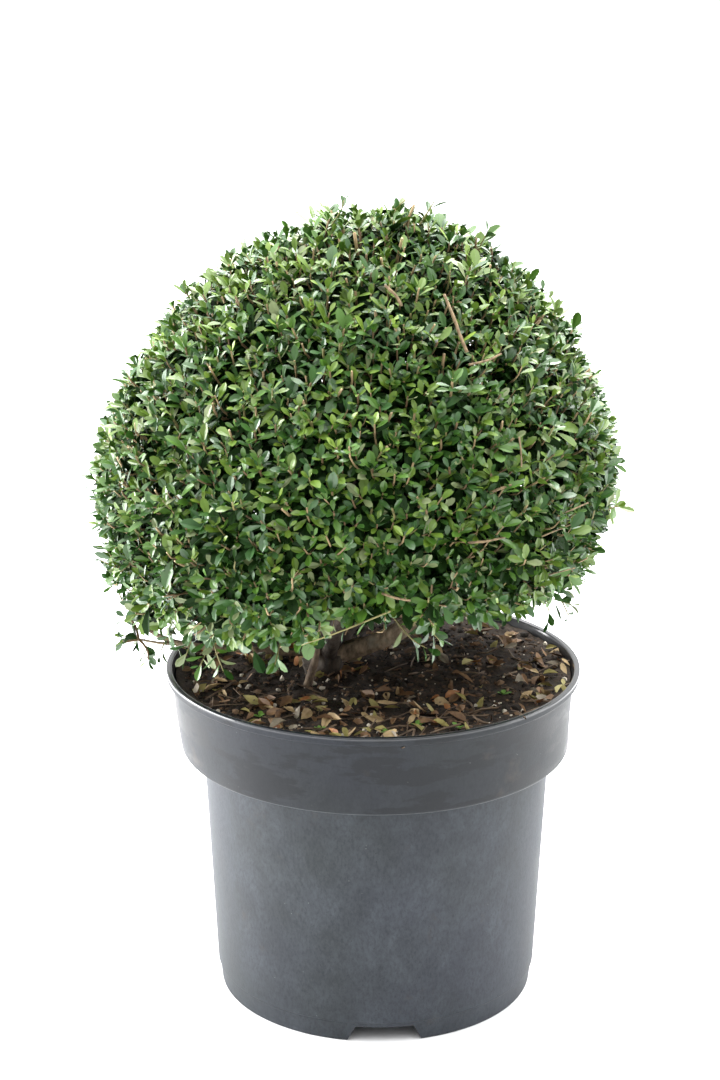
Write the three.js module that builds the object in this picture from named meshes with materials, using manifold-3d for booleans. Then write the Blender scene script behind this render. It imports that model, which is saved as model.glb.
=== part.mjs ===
// A clipped ball of Japanese holly, Ilex crenata, in a round plastic nursery pot filled with soil.
// Millimetres, +Z up. The origin is on the pot's axis, on the surface that the pot stands on.
// The bush is built as it grows: a short trunk, one tapering bough to each mass of foliage, and
// masses of twigs and leaves that together make one clipped ball.

import * as THREE from "three";
import { mergeVertices } from "three/addons/utils/BufferGeometryUtils.js";
import Module from "manifold-3d";

const wasm = await Module();
wasm.setup();

// Driving dimensions

const GAP = 0.3; // clearance between neighbouring solids

const POT = {
  height: 226,
  rimRadius: 138,
  rimWidth: 3.8,
  rimDepth: 5.5,
  collarTopRadius: 134,
  collarBottomRadius: 130.3,
  collarBottom: 170.5,
  bodyTopRadius: 116.2,
  bodyBottomRadius: 108.6,
  footRadius: 106,
  footBand: 14,
  floor: 12,
  wall: 2,
  padRadius: 42,
  padSlope: 6,
  segments: 40,
};

const NOTCH = { count: 3, firstAngle: -86.7, bottomWidth: 48.7, topWidth: 37, height: 12 };
const DRAIN = { count: 8, radius: 5, circle: 76, sides: 8 };
const RIB = { count: 3, width: 2.4, height: 9 };

const SOIL = { top: 217.5, edgeDrop: 1.5, bump: 1.6, waves: [19, 23, 9, 11], flatRadius: 30, flatEdge: 25 };

// The clipped surface is a ball that leans a little to the right, by lean for each millimetre of
// height, and is drawn in towards its top: power is 2 for an ellipsoid and 1 for a cone. It is cut
// off by an underside that is lower at the back and on the left: slope is its rise along X and Y.
const BALL = {
  centre: new THREE.Vector3(-14.5, 4, 359),
  radius: 173,
  halfHeight: 174,
  lean: 0.082,
  power: 1.72,
  underside: 270,
  slope: new THREE.Vector2(0.1, -0.15),
};
const CORE = { depth: 20, lump: 3, lumpRate: [7, 8, 9], lumpStart: [1, 2, 0], around: 25, rings: 15, seam: 0.6 };
const CAP_ANGLE = 42; // degrees from the vertical to the seam between the top mass and those round it

const TWIG = {
  count: 113,
  inset: 11,
  leafy: 8,
  lateralRadius: 2.4,
  radius: 1.5,
  tipRadius: 0.9,
  jitter: 3,
  stray: 7,
  strayShare: 0.1,
  perLateral: 6,
  stemRise: 14, // a mass's stem goes straight on from its bough for this far
  stemReach: 0.62, // share of the way from the bough's tip to the mass's middle
  lateralReach: 0.62, // share of the way from the stem to the clipped surface
  limbRoom: 2,
  seamRoom: 2,
};

const LEAF = {
  length: 35,
  width: 18.5,
  thickness: 1.3,
  cup: 0.04,
  perTwig: 5,
  leanLow: 80,
  leanTop: 62,
  sink: 0.1,
  standOut: 8,
  tries: 14,
};

// The trunk forks just above the soil.
const TRUNK = {
  foot: new THREE.Vector3(-36, 7, SOIL.top + GAP),
  middle: new THREE.Vector3(-31.5, 5.3, 224.4),
  fork: new THREE.Vector3(-31, 5.5, 231),
  radius: 11,
  forkRadius: 9.5,
  flare: 5,
  boughStart: 0.25, // share of the way down from the fork at which the boughs begin
};

// Each bough: the angle of its mass round the ball, its tip, its sag and its radius at both ends.
const BOUGHS = {
  front: { seed: 17, angle: -90, tip: [-20, -72, 287], bend: [-27, -38, 262], radius: 5.6, tipRadius: 3.6 },
  right: { seed: 3, angle: -18, tip: [60, -18, 285], bend: [10, 1, 245], radius: 7.2, tipRadius: 5 },
  back_right: { seed: 3, angle: 54, tip: [28, 68, 283], bend: [-4, 38, 259], radius: 6.6, tipRadius: 4.2 },
  back_left: { seed: 8, angle: 126, tip: [-62, 66, 282], bend: [-48, 34, 259], radius: 6, tipRadius: 4 },
  left: { seed: 13, angle: 198, tip: [-88, -12, 285], bend: [-62, -4, 258], radius: 6.2, tipRadius: 4 },
  top: { seed: 8, angle: null, tip: [-12, 4, 380], bend: [-20, 5, 300], radius: 8.2, tipRadius: 5 },
};

const THIN_STEM = {
  foot: [-47, -21, SOIL.top + GAP],
  bend: [-40, -27, 240],
  tip: [-37, -40, 281],
  radius: 3.4,
  tipRadius: 2.3,
};

// A low branch that lies out to the left over the rim and turns up into the crown at its end, and
// the thin level twig that leaves it where it turns up.
const LOW_BRANCH = {
  path: [
    [-36, 5, 230],
    [-84, -16, 240],
    [-126, -22, 246],
    [-150, -17, 254],
    [-168, -8, 272],
  ],
  radius: 3.2,
  tipRadius: 1.8,
};
const LEVEL_TWIG = {
  path: [
    [-125, -22, 245.8],
    [-139, -23, 246],
    [-150, -21, 247],
  ],
  radius: 1.7,
  tipRadius: 1.3,
};

const SPRIG = {
  seed: 77,
  stem: 5,
  reach: 12,
  room: 24,
  top: 258,
  leafScale: 0.5,
  leavesPerTwig: 3,
  ways: [
    [-0.75, -0.5, 0.1],
    [-0.3, 0.2, 0.35],
    [-0.9, 0.35, -0.25],
  ],
};

const COLOURS = {
  pot: [0x4b4e53, 0.5],
  soil: [0x2c2019, 0.95],
  bark: [0x6b5d4c, 0.85],
  leaves: [0x3d6b32, 0.5],
};

// Numbers and vectors

const rad = THREE.MathUtils.degToRad;
const vec = (p) => (p.isVector3 ? p.clone() : new THREE.Vector3(...p));
const UP = new THREE.Vector3(0, 0, 1);
const GOLDEN_ANGLE = Math.PI * (3 - Math.sqrt(5));

// A small seeded generator, so that the bush is the same at every run.
function seeded(seed) {
  let state = seed >>> 0;
  return () => {
    state = (state + 0x6d2b79f5) >>> 0;
    let t = state;
    t = Math.imul(t ^ (t >>> 15), t | 1);
    t ^= t + Math.imul(t ^ (t >>> 7), t | 61);
    return ((t ^ (t >>> 14)) >>> 0) / 4294967296;
  };
}

// Two unit vectors square to a direction and to each other.
function sideways(direction) {
  const hint = Math.abs(direction.z) > 0.9 ? new THREE.Vector3(1, 0, 0) : UP;
  const side = new THREE.Vector3().crossVectors(hint, direction).normalize();
  const other = new THREE.Vector3().crossVectors(direction, side);
  return [side, other];
}

// Solids: three.js geometry into a manifold solid and back

function solidOf(geometry) {
  const bare = geometry.clone();
  bare.deleteAttribute("normal");
  bare.deleteAttribute("uv");
  const merged = mergeVertices(bare, 1e-4);
  const mesh = new wasm.Mesh({
    numProp: 3,
    vertProperties: merged.attributes.position.array,
    triVerts: new Uint32Array(merged.index.array),
  });
  return new wasm.Manifold(mesh);
}

function geometryOf(solid) {
  const mesh = solid.getMesh();
  const points = new Float32Array(mesh.numVert * 3);
  for (let i = 0; i < mesh.numVert; i++) {
    points.set(mesh.vertProperties.subarray(i * mesh.numProp, i * mesh.numProp + 3), i * 3);
  }
  const geometry = new THREE.BufferGeometry();
  geometry.setAttribute("position", new THREE.BufferAttribute(points, 3));
  geometry.setIndex(new THREE.BufferAttribute(mesh.triVerts, 1));
  geometry.computeVertexNormals();
  return geometry;
}

// The largest body of a solid: loose scraps go, and a hollow that fusing sealed is filled.
function wholeBody(solid) {
  const bodies = solid.decompose();
  return bodies.reduce((a, b) => (b.volume() > a.volume() ? b : a));
}

// Solids joined into one, kept within some planes and cut clear of the limbs that pass.
function fuse(solids, planes, limbs) {
  let joined = wasm.Manifold.union(solids);
  for (const plane of planes) joined = joined.trimByPlane(plane.normal.toArray(), plane.offset);
  for (const limb of limbs) joined = joined.subtract(limb);
  return wholeBody(joined.simplify(0.05));
}

// A profile of [radius, height] points turned round the vertical axis.
function turned(profile, segments) {
  const points = profile.map(([r, z]) => new THREE.Vector2(r, z));
  return new THREE.LatheGeometry(points, segments).rotateX(Math.PI / 2);
}

// One tapering limb along a smooth curve, closed at both ends. radiusAt takes 0 to 1 along it.
function limb(points, radiusAt, sides, steps) {
  const curve = new THREE.CatmullRomCurve3(points.map(vec), false, "centripetal");
  const frames = curve.computeFrenetFrames(steps, false);
  const positions = [];
  const index = [];
  for (let i = 0; i <= steps; i++) {
    const centre = curve.getPointAt(i / steps);
    for (let j = 0; j < sides; j++) {
      const turn = (j / sides) * 2 * Math.PI;
      const out = frames.normals[i].clone().multiplyScalar(Math.cos(turn));
      out.addScaledVector(frames.binormals[i], Math.sin(turn));
      positions.push(...centre.clone().addScaledVector(out, radiusAt(i / steps)).toArray());
    }
  }
  for (let i = 0; i < steps; i++) {
    for (let j = 0; j < sides; j++) {
      const a = i * sides + j;
      const b = i * sides + ((j + 1) % sides);
      index.push(a, b, b + sides, a, b + sides, a + sides);
    }
  }
  for (let j = 1; j < sides - 1; j++) {
    const last = steps * sides;
    index.push(0, j + 1, j, last, last + j, last + j + 1);
  }
  const geometry = new THREE.BufferGeometry();
  geometry.setAttribute("position", new THREE.Float32BufferAttribute(positions, 3));
  geometry.setIndex(index);
  return geometry;
}

const taper = (from, to, grow = 0) => (t) => THREE.MathUtils.lerp(from, to, t) + grow;

// Pot

function potProfile() {
  const p = POT;
  const rimInner = p.rimRadius - p.rimWidth;
  const underRim = p.height - p.rimDepth;
  return [
    [0, 0],
    [p.padRadius, 0],
    [p.padRadius + p.padSlope, p.floor],
    [p.footRadius - p.wall - 0.4, p.floor],
    [p.footRadius - p.wall - 0.4, 0],
    [p.footRadius, 0],
    [p.bodyBottomRadius - 1, p.footBand],
    [p.bodyBottomRadius, p.footBand + 0.6],
    [p.bodyTopRadius, p.collarBottom + 0.6],
    [p.collarBottomRadius - 1, p.collarBottom],
    [p.collarBottomRadius, p.collarBottom + 1],
    [p.collarTopRadius, underRim - 1],
    [p.rimRadius, underRim],
    [p.rimRadius, p.height - 0.9],
    [p.rimRadius - 0.9, p.height],
    [rimInner, p.height],
    [p.collarTopRadius - p.wall, underRim - 1],
    [p.collarBottomRadius - p.wall, p.collarBottom + 2.6],
    [p.bodyTopRadius - p.wall, p.collarBottom + 2.2],
    [p.bodyBottomRadius - p.wall - 1, p.floor + p.wall],
    [p.padRadius + p.padSlope - p.wall, p.floor + p.wall],
    [p.padRadius - p.wall, p.wall],
    [0, p.wall],
  ];
}

// A block with a trapezoid front, cut out of the foot ring so that water can run out.
function notchCutter(angle) {
  const deep = 14;
  const outline = new THREE.Shape([
    new THREE.Vector2(-NOTCH.bottomWidth / 2 - 0.5, -1),
    new THREE.Vector2(NOTCH.bottomWidth / 2 + 0.5, -1),
    new THREE.Vector2(NOTCH.topWidth / 2, NOTCH.height - GAP),
    new THREE.Vector2(-NOTCH.topWidth / 2, NOTCH.height - GAP),
  ]);
  const block = new THREE.ExtrudeGeometry(outline, { depth: deep * 2, bevelEnabled: false });
  block.translate(0, 0, POT.footRadius - deep);
  block.applyMatrix4(new THREE.Matrix4().makeBasis(new THREE.Vector3(0, 1, 0), UP, new THREE.Vector3(1, 0, 0)));
  return solidOf(block.rotateZ(rad(angle)));
}

function drainCutter(angle) {
  const hole = new THREE.CylinderGeometry(DRAIN.radius, DRAIN.radius, 10, DRAIN.sides);
  hole.rotateX(Math.PI / 2).translate(DRAIN.circle, 0, POT.floor + 1);
  return solidOf(hole.rotateZ(rad(angle)));
}

// A rib under the floor, from beside the middle pad to the foot ring.
function rib(angle) {
  const from = POT.padRadius + POT.padSlope + 2;
  const to = POT.footRadius - POT.wall + 0.4;
  const plate = new THREE.BoxGeometry(to - from, RIB.width, RIB.height);
  plate.translate((from + to) / 2, 0, POT.floor + 0.5 - RIB.height / 2);
  return solidOf(plate.rotateZ(rad(angle)));
}

function makePot() {
  let pot = solidOf(turned(potProfile(), POT.segments));
  for (let i = 0; i < RIB.count; i++) {
    pot = pot.add(rib(NOTCH.firstAngle + 60 + (i * 360) / RIB.count));
  }
  for (let i = 0; i < NOTCH.count; i++) {
    pot = pot.subtract(notchCutter(NOTCH.firstAngle + (i * 360) / NOTCH.count));
  }
  for (let i = 0; i < DRAIN.count; i++) {
    pot = pot.subtract(drainCutter(NOTCH.firstAngle + 22.5 + (i * 360) / DRAIN.count));
  }
  return wholeBody(pot.simplify(0.01));
}

// Soil

// Uneven ground, flat round the trunk's foot.
function bumpAt(x, y) {
  const [wideX, wideY, fineX, fineY] = SOIL.waves;
  const waves = Math.sin(x / wideX + 1) * Math.cos(y / wideY) + 0.6 * Math.sin(x / fineX - y / fineY);
  const away = Math.hypot(x - TRUNK.foot.x, y - TRUNK.foot.y) - SOIL.flatRadius;
  return SOIL.bump * waves * THREE.MathUtils.smoothstep(away, 0, SOIL.flatEdge);
}

function makeSoil() {
  const p = POT;
  const wallAt = (z) => {
    const up = (z - p.collarBottom) / (p.height - p.rimDepth - p.collarBottom);
    return THREE.MathUtils.lerp(p.collarBottomRadius, p.collarTopRadius, up) - p.wall - GAP * 2;
  };
  const edge = SOIL.top - SOIL.edgeDrop;
  const floor = p.floor + p.wall + GAP;
  const topRadii = [106, 76, 42];
  const geometry = turned(
    [
      [0, p.wall + GAP],
      [p.padRadius - p.wall - GAP * 2, p.wall + GAP],
      [p.padRadius + p.padSlope - p.wall - GAP * 2, floor],
      [p.bodyBottomRadius - p.wall - 1 - GAP * 2, floor],
      [p.bodyTopRadius - p.wall - GAP * 2, p.collarBottom + 2.6],
      [p.collarBottomRadius - p.wall - GAP * 2, p.collarBottom + 3.4],
      [wallAt(edge), edge],
      ...topRadii.map((r) => [r, SOIL.top]),
      [0, SOIL.top],
    ],
    POT.segments,
  );
  const position = geometry.attributes.position;
  for (let i = 0; i < position.count; i++) {
    if (position.getZ(i) < edge + 0.5) continue;
    position.setZ(i, position.getZ(i) + bumpAt(position.getX(i), position.getY(i)));
  }
  return solidOf(geometry);
}

// Trunk and boughs

function trunkSolid(grow = 0) {
  const flare = (t) => TRUNK.flare * Math.max(0, 1 - t / 0.45) ** 2;
  const radiusAt = (t) => THREE.MathUtils.lerp(TRUNK.radius, TRUNK.forkRadius, t) + flare(t) + grow;
  const below = TRUNK.foot.clone().setZ(TRUNK.foot.z - 2);
  const trunk = solidOf(limb([below, TRUNK.middle, TRUNK.fork], radiusAt, 10, 6));
  return trunk.trimByPlane([0, 0, 1], TRUNK.foot.z - grow);
}

// A limb from the trunk's heart to its tip: it is cut back later to leave its neighbours clear.
function boughSolid(bough, grow = 0) {
  const start = TRUNK.fork.clone().lerp(TRUNK.foot, TRUNK.boughStart);
  const path = [start, bough.bend, bough.tip];
  return solidOf(limb(path, taper(bough.radius, bough.tipRadius, grow), 7, 5));
}

function thinStemSolid(grow = 0) {
  const s = THIN_STEM;
  const below = vec(s.foot).setZ(s.foot[2] - 4);
  const stem = solidOf(limb([below, s.bend, s.tip], taper(s.radius, s.tipRadius, grow), 5, 4));
  return stem.trimByPlane([0, 0, 1], s.foot[2] - grow);
}

function lowBranchSolid(grow = 0) {
  const branch = solidOf(limb(LOW_BRANCH.path, taper(LOW_BRANCH.radius, LOW_BRANCH.tipRadius, grow), 5, 10));
  const twig = solidOf(limb(LEVEL_TWIG.path, taper(LEVEL_TWIG.radius, LEVEL_TWIG.tipRadius, grow), 5, 3));
  return branch.add(twig);
}

// Every limb, each cut clear of those before it in the list.
function makeLimbs() {
  const makers = { trunk: trunkSolid };
  for (const [name, bough] of Object.entries(BOUGHS)) {
    makers[`bough_${name}`] = (grow) => boughSolid(bough, grow);
  }
  makers.stem_front_thin = thinStemSolid;
  makers.branch_low_left = lowBranchSolid;
  const limbs = {};
  const before = [];
  for (const [name, make] of Object.entries(makers)) {
    let solid = make(0);
    for (const other of before) solid = solid.subtract(other);
    limbs[name] = wholeBody(solid.simplify(0.01));
    before.push(make(GAP));
  }
  return { limbs, grown: before };
}

// Foliage

// How far the clipped surface is from the ball's centre, along a unit direction.
function surfaceReach(direction) {
  const flat = Math.hypot(direction.x - BALL.lean * direction.z, direction.y) / BALL.radius;
  const tall = Math.abs(direction.z) / BALL.halfHeight;
  const power = direction.z > 0 ? BALL.power : 2;
  const ball = (flat ** power + tall ** power) ** (-1 / power);
  const fall = BALL.slope.x * direction.x + BALL.slope.y * direction.y - direction.z;
  if (fall <= 0) return ball;
  return Math.min(ball, (BALL.centre.z - BALL.underside) / fall);
}

// The point at the end of the level twig that its sprig forks from. The sprig has a ball of space
// round it to itself.
function sprigFork() {
  const [before, tip] = LEVEL_TWIG.path.slice(-2).map(vec);
  const along = tip.clone().sub(before).normalize();
  const foot = tip.clone().addScaledVector(along, GAP);
  return { foot, fork: foot.clone().addScaledVector(along, SPRIG.stem) };
}

// A point is inside the crown's outline when it is at most a little way out of the clipped surface.
function inOutline(point) {
  const out = point.clone().sub(BALL.centre);
  const distance = out.length();
  return distance < surfaceReach(out.divideScalar(distance)) + LEAF.standOut;
}

// The planes that bound a mass: a point is in it where normal . point is at least offset.
function planesOf(bough) {
  const sectors = Object.values(BOUGHS).filter((b) => b.angle !== null);
  const half = 180 / sectors.length;
  const through = (normal) => ({ normal, offset: normal.dot(BALL.centre) + CORE.seam });
  const outward = (angle) => {
    const tilt = rad(CAP_ANGLE);
    const flat = new THREE.Vector3(Math.cos(rad(angle)), Math.sin(rad(angle)), 0);
    return flat.multiplyScalar(Math.cos(tilt)).setZ(-Math.sin(tilt));
  };
  if (bough.angle === null) {
    return sectors.map((b) => through(outward(b.angle).negate()));
  }
  const side = (angle, sign) => {
    return new THREE.Vector3(-Math.sin(rad(angle)) * sign, Math.cos(rad(angle)) * sign, 0);
  };
  return [
    through(side(bough.angle - half, 1)),
    through(side(bough.angle + half, -1)),
    through(outward(bough.angle)),
  ];
}

const inSpace = (point, planes, margin) => planes.every((p) => p.normal.dot(point) >= p.offset + margin);

// The dense inside of the ball, gently lumpy, which the outer twigs and leaves stand out of.
function coreSolid() {
  const geometry = new THREE.SphereGeometry(1, CORE.around, CORE.rings).rotateX(Math.PI / 2);
  const position = geometry.attributes.position;
  const direction = new THREE.Vector3();
  for (let i = 0; i < position.count; i++) {
    direction.fromBufferAttribute(position, i).normalize();
    const waves = direction.toArray().map((d, axis) => Math.sin(d * CORE.lumpRate[axis] + CORE.lumpStart[axis]));
    const lumps = waves[0] * waves[1] * waves[2];
    const reach = surfaceReach(direction) - CORE.depth + CORE.lump * lumps;
    direction.multiplyScalar(reach).add(BALL.centre);
    position.setXYZ(i, direction.x, direction.y, direction.z);
  }
  return solidOf(geometry);
}

// Where the twigs end: points spread evenly over the clipped surface, by a golden-angle spiral.
function twigTips() {
  const random = seeded(11);
  const tips = [];
  for (let i = 0; i < TWIG.count; i++) {
    const z = 1 - (2 * (i + 0.5)) / TWIG.count;
    const turn = i * GOLDEN_ANGLE;
    const r = Math.sqrt(1 - z * z);
    const direction = new THREE.Vector3(r * Math.cos(turn), r * Math.sin(turn), z);
    const reach = surfaceReach(direction);
    const keep = (reach / BALL.radius) ** 2;
    const stray = random() < TWIG.strayShare ? TWIG.stray : 0;
    const jitter = (random() - 0.5) * 2 * TWIG.jitter;
    if (random() > keep) continue;
    tips.push(direction.clone().multiplyScalar(reach - TWIG.inset + jitter + stray).add(BALL.centre));
  }
  return tips;
}

// A leaf of eight faces, blunt at the tip: root at the origin, pointing along +X, its back up +Z.
function leafGeometry(scale) {
  const length = LEAF.length * scale;
  const half = (LEAF.width * scale) / 2;
  const rise = length * LEAF.cup;
  const points = [
    [0, 0, 0],
    [length * 0.55, -half, rise],
    [length, -half * 0.3, rise],
    [length, half * 0.3, rise],
    [length * 0.55, half, rise],
    [length * 0.5, 0, LEAF.thickness + rise * 0.4],
  ];
  const upper = [0, 1, 5, 1, 2, 5, 2, 3, 5, 3, 4, 5, 4, 0, 5];
  const under = [1, 0, 4, 1, 4, 3, 1, 3, 2];
  const geometry = new THREE.BufferGeometry();
  geometry.setAttribute("position", new THREE.Float32BufferAttribute(points.flat(), 3));
  geometry.setIndex([...upper, ...under]);
  return geometry;
}

// The place of a leaf: its root sunk in the twig, leaning away from the twig at a turn round it.
function leafPlace(node, along, turn, lean) {
  const [side, other] = sideways(along);
  const out = side.multiplyScalar(Math.cos(turn)).addScaledVector(other, Math.sin(turn));
  const point = along.clone().multiplyScalar(Math.cos(lean)).addScaledVector(out, Math.sin(lean));
  const across = new THREE.Vector3().crossVectors(along, out).normalize();
  const back = new THREE.Vector3().crossVectors(point, across);
  const place = new THREE.Matrix4().makeBasis(point, across, back);
  return place.setPosition(node.clone().addScaledVector(point, -LEAF.sink));
}

function cornersOf(geometry) {
  const position = geometry.attributes.position;
  return Array.from({ length: position.count }, (_, i) => new THREE.Vector3().fromBufferAttribute(position, i));
}

// A leaf at a node of a twig, turned on round the twig until it is in its space and clear of the
// leaves that are there already. Null where no turn will do.
function leafAt(node, along, turn, lean, scale, space) {
  for (let i = 0; i < LEAF.tries; i++) {
    const place = leafPlace(node, along, turn + (i * 2 * Math.PI) / LEAF.tries, lean);
    const geometry = leafGeometry(scale).applyMatrix4(place);
    const corners = cornersOf(geometry);
    if (!corners.every(space.allows)) continue;
    const leaf = { solid: solidOf(geometry), middle: corners.at(-1) };
    const near = space.leaves.filter((other) => other.middle.distanceTo(leaf.middle) < LEAF.length);
    if (near.some((other) => !other.solid.intersect(leaf.solid).isEmpty())) continue;
    space.leaves.push(leaf);
    return leaf.solid;
  }
  return null;
}

// A three-sided twig with leaves set round its outer part, from bare to 1 along it.
function leafyTwig(path, bare, count, scale, space, random) {
  const solids = [solidOf(limb(path, taper(TWIG.radius, TWIG.tipRadius), 3, path.length - 1))];
  const curve = new THREE.CatmullRomCurve3(path.map(vec), false, "centripetal");
  const start = random() * 2 * Math.PI;
  for (let i = 0; i < count; i++) {
    const share = i / (count - 1);
    const at = THREE.MathUtils.lerp(bare, 0.97, share);
    const lean = rad(THREE.MathUtils.lerp(LEAF.leanLow, LEAF.leanTop, share) + (random() - 0.5) * 20);
    const size = scale * (0.88 + 0.24 * random());
    const turn = start + i * GOLDEN_ANGLE;
    const leaf = leafAt(curve.getPointAt(at), curve.getTangentAt(at), turn, lean, size, space);
    if (leaf) solids.push(leaf);
  }
  return solids;
}

// The distance from a point to the nearest limb's middle line, less its radius.
function limbClearance() {
  const line = (points, radius) => {
    const curve = new THREE.CatmullRomCurve3(points.map(vec), false, "centripetal");
    return curve.getSpacedPoints(14).map((point) => [point, radius]);
  };
  const samples = Object.values(BOUGHS).flatMap((b) => line([TRUNK.fork, b.bend, b.tip], b.radius));
  samples.push(...line([THIN_STEM.foot, THIN_STEM.bend, THIN_STEM.tip], THIN_STEM.radius));
  samples.push(...line(LOW_BRANCH.path, LOW_BRANCH.radius));
  samples.push(...line(LEVEL_TWIG.path, LEVEL_TWIG.radius));
  return (point) => Math.min(...samples.map(([at, radius]) => at.distanceTo(point) - radius));
}

// The stem of a mass: it goes on from its bough's tip, 0.3 mm clear, to the heart of the mass.
function massStem(bough, middle) {
  const towards = vec(bough.tip).sub(vec(bough.bend)).normalize();
  const foot = vec(bough.tip).addScaledVector(towards, GAP);
  const rise = foot.clone().addScaledVector(towards, TWIG.stemRise);
  return [foot, rise, foot.clone().lerp(middle, TWIG.stemReach)];
}

// One mass: its stem, laterals that fan out of the stem, and a leafy twig from the nearest
// lateral to each of its points on the clipped surface.
function growMass(bough, shape) {
  const random = seeded(bough.seed);
  const planes = planesOf(bough);
  const mine = shape.tips.filter((tip) => inSpace(tip, planes, TWIG.seamRoom));
  const middle = mine.reduce((sum, tip) => sum.add(tip), new THREE.Vector3()).divideScalar(mine.length);
  const stemPath = massStem(bough, middle);
  const stem = new THREE.CatmullRomCurve3(stemPath, false, "centripetal");
  const solids = [shape.core];
  solids.push(solidOf(limb(stemPath, taper(bough.tipRadius, TWIG.lateralRadius), 6, 4)));

  const laterals = mine.filter((_, i) => i % TWIG.perLateral === 0).map((tip) => {
    const from = stem.getPointAt(0.55 + 0.4 * random());
    return [from, from.clone().lerp(tip, TWIG.lateralReach)];
  });
  for (const path of laterals) {
    solids.push(solidOf(limb(path, taper(TWIG.lateralRadius, TWIG.radius), 3, 1)));
  }

  const { fork } = sprigFork();
  const allows = (p) =>
    inOutline(p) &&
    inSpace(p, planes, 0) &&
    shape.clearance(p) > TWIG.limbRoom &&
    p.distanceTo(fork) > SPRIG.room + GAP;
  const space = { allows, leaves: [] };
  for (const tip of mine) {
    const ends = laterals.map((path) => path[1]);
    const from = ends.reduce((a, b) => (b.distanceTo(tip) < a.distanceTo(tip) ? b : a));
    if ([tip, from.clone().lerp(tip, 0.7)].some((p) => shape.clearance(p) < TWIG.limbRoom * 1.5)) continue;
    const bare = 1 - TWIG.leafy / tip.distanceTo(from);
    solids.push(...leafyTwig([from, tip], bare, LEAF.perTwig, 1, space, random));
  }
  return fuse(solids, planes, shape.limbs);
}

// A few small leaves on thin twigs at the end of the level twig.
function makeSprig(limbs) {
  const random = seeded(SPRIG.seed);
  const { foot, fork } = sprigFork();
  const allows = (p) => {
    const away = p.distanceTo(fork);
    return p.z > POT.height + 4 && p.z < SPRIG.top && away > SPRIG.stem / 2 && away < SPRIG.room;
  };
  const space = { allows, leaves: [] };
  const solids = [solidOf(limb([foot, fork], taper(LEVEL_TWIG.tipRadius, TWIG.tipRadius), 5, 1))];
  for (const way of SPRIG.ways) {
    const end = fork.clone().addScaledVector(vec(way).normalize(), SPRIG.reach * (0.6 + 0.4 * random()));
    solids.push(...leafyTwig([fork, end], 0.3, SPRIG.leavesPerTwig, SPRIG.leafScale, space, random));
  }
  return fuse(solids, [], limbs);
}

// The scene graph: one named mesh for each piece

function material([colour, roughness]) {
  return new THREE.MeshStandardMaterial({ color: colour, roughness, metalness: 0, flatShading: true });
}

const materials = Object.fromEntries(Object.entries(COLOURS).map(([k, v]) => [k, material(v)]));
const plant = new THREE.Group();

function addPiece(name, solid, slot) {
  const mesh = new THREE.Mesh(geometryOf(solid), materials[slot]);
  mesh.name = name;
  plant.add(mesh);
}

addPiece("pot", makePot(), "pot");
addPiece("soil", makeSoil(), "soil");

const { limbs, grown } = makeLimbs();
for (const [name, solid] of Object.entries(limbs)) addPiece(name, solid, "bark");

const shape = { tips: twigTips(), core: coreSolid(), limbs: grown, clearance: limbClearance() };
for (const [name, bough] of Object.entries(BOUGHS)) {
  addPiece(`foliage_${name}`, growMass(bough, shape), "leaves");
}
addPiece("sprig_low_left", makeSprig(grown), "leaves");

export default plant;
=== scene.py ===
import functools
import itertools
import math

import bmesh
import bpy
import numpy as np
from mathutils import Matrix, Vector


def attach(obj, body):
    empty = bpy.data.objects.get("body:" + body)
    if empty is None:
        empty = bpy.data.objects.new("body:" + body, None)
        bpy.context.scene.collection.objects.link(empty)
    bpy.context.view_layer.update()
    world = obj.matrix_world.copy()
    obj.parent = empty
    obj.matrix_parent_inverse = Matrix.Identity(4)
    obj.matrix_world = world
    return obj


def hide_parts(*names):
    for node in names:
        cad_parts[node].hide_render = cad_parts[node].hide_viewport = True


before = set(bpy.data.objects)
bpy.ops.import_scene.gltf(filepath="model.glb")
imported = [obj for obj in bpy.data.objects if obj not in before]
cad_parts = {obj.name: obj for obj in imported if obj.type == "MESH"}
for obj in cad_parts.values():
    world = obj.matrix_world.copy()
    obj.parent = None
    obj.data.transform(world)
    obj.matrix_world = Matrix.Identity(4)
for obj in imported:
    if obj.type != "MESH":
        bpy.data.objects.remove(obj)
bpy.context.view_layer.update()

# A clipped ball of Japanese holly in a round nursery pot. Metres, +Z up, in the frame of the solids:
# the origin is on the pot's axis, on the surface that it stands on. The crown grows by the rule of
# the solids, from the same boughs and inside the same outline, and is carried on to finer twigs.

MM = 0.001

# Sizes of the solids. The notches and the trunk's flare are within a millimetre of theirs, the level
# twig is longer, and the trunk and the thin stem start lower, in the soil.

POT_HEIGHT = 0.226
RIM_RADIUS = 0.138
RIM_WIDTH = 0.0038
RIM_DEPTH = 0.0055
COLLAR_TOP_RADIUS = 0.134
COLLAR_BOTTOM_RADIUS = 0.1303
COLLAR_BOTTOM = 0.1705
BODY_TOP_RADIUS = 0.1162
BODY_BOTTOM_RADIUS = 0.1086
FOOT_RADIUS = 0.106
FOOT_BAND = 0.014
FLOOR_HEIGHT = 0.012
WALL = 0.002
FLOOR_TOP = FLOOR_HEIGHT + WALL
PAD_RADIUS = 0.042
PAD_SLOPE = 0.006

NOTCH_COUNT = 3
NOTCH_ANGLE = math.radians(-86.7)
NOTCH_BOTTOM = 0.0492
NOTCH_TOP = 0.038
NOTCH_HEIGHT = 0.0112

SOIL_TOP = 0.2175

CENTRE = np.array((-0.0145, 0.004, 0.359))
RADIUS = 0.173
HALF_HEIGHT = 0.174
LEAN = 0.082
POWER = 1.72
UNDERSIDE = 0.270
SLOPE = np.array((0.1, -0.15))
CAP_ANGLE = math.radians(42)
SECTORS = {"front": -90, "right": -18, "back_right": 54, "back_left": 126, "left": 198}

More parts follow.
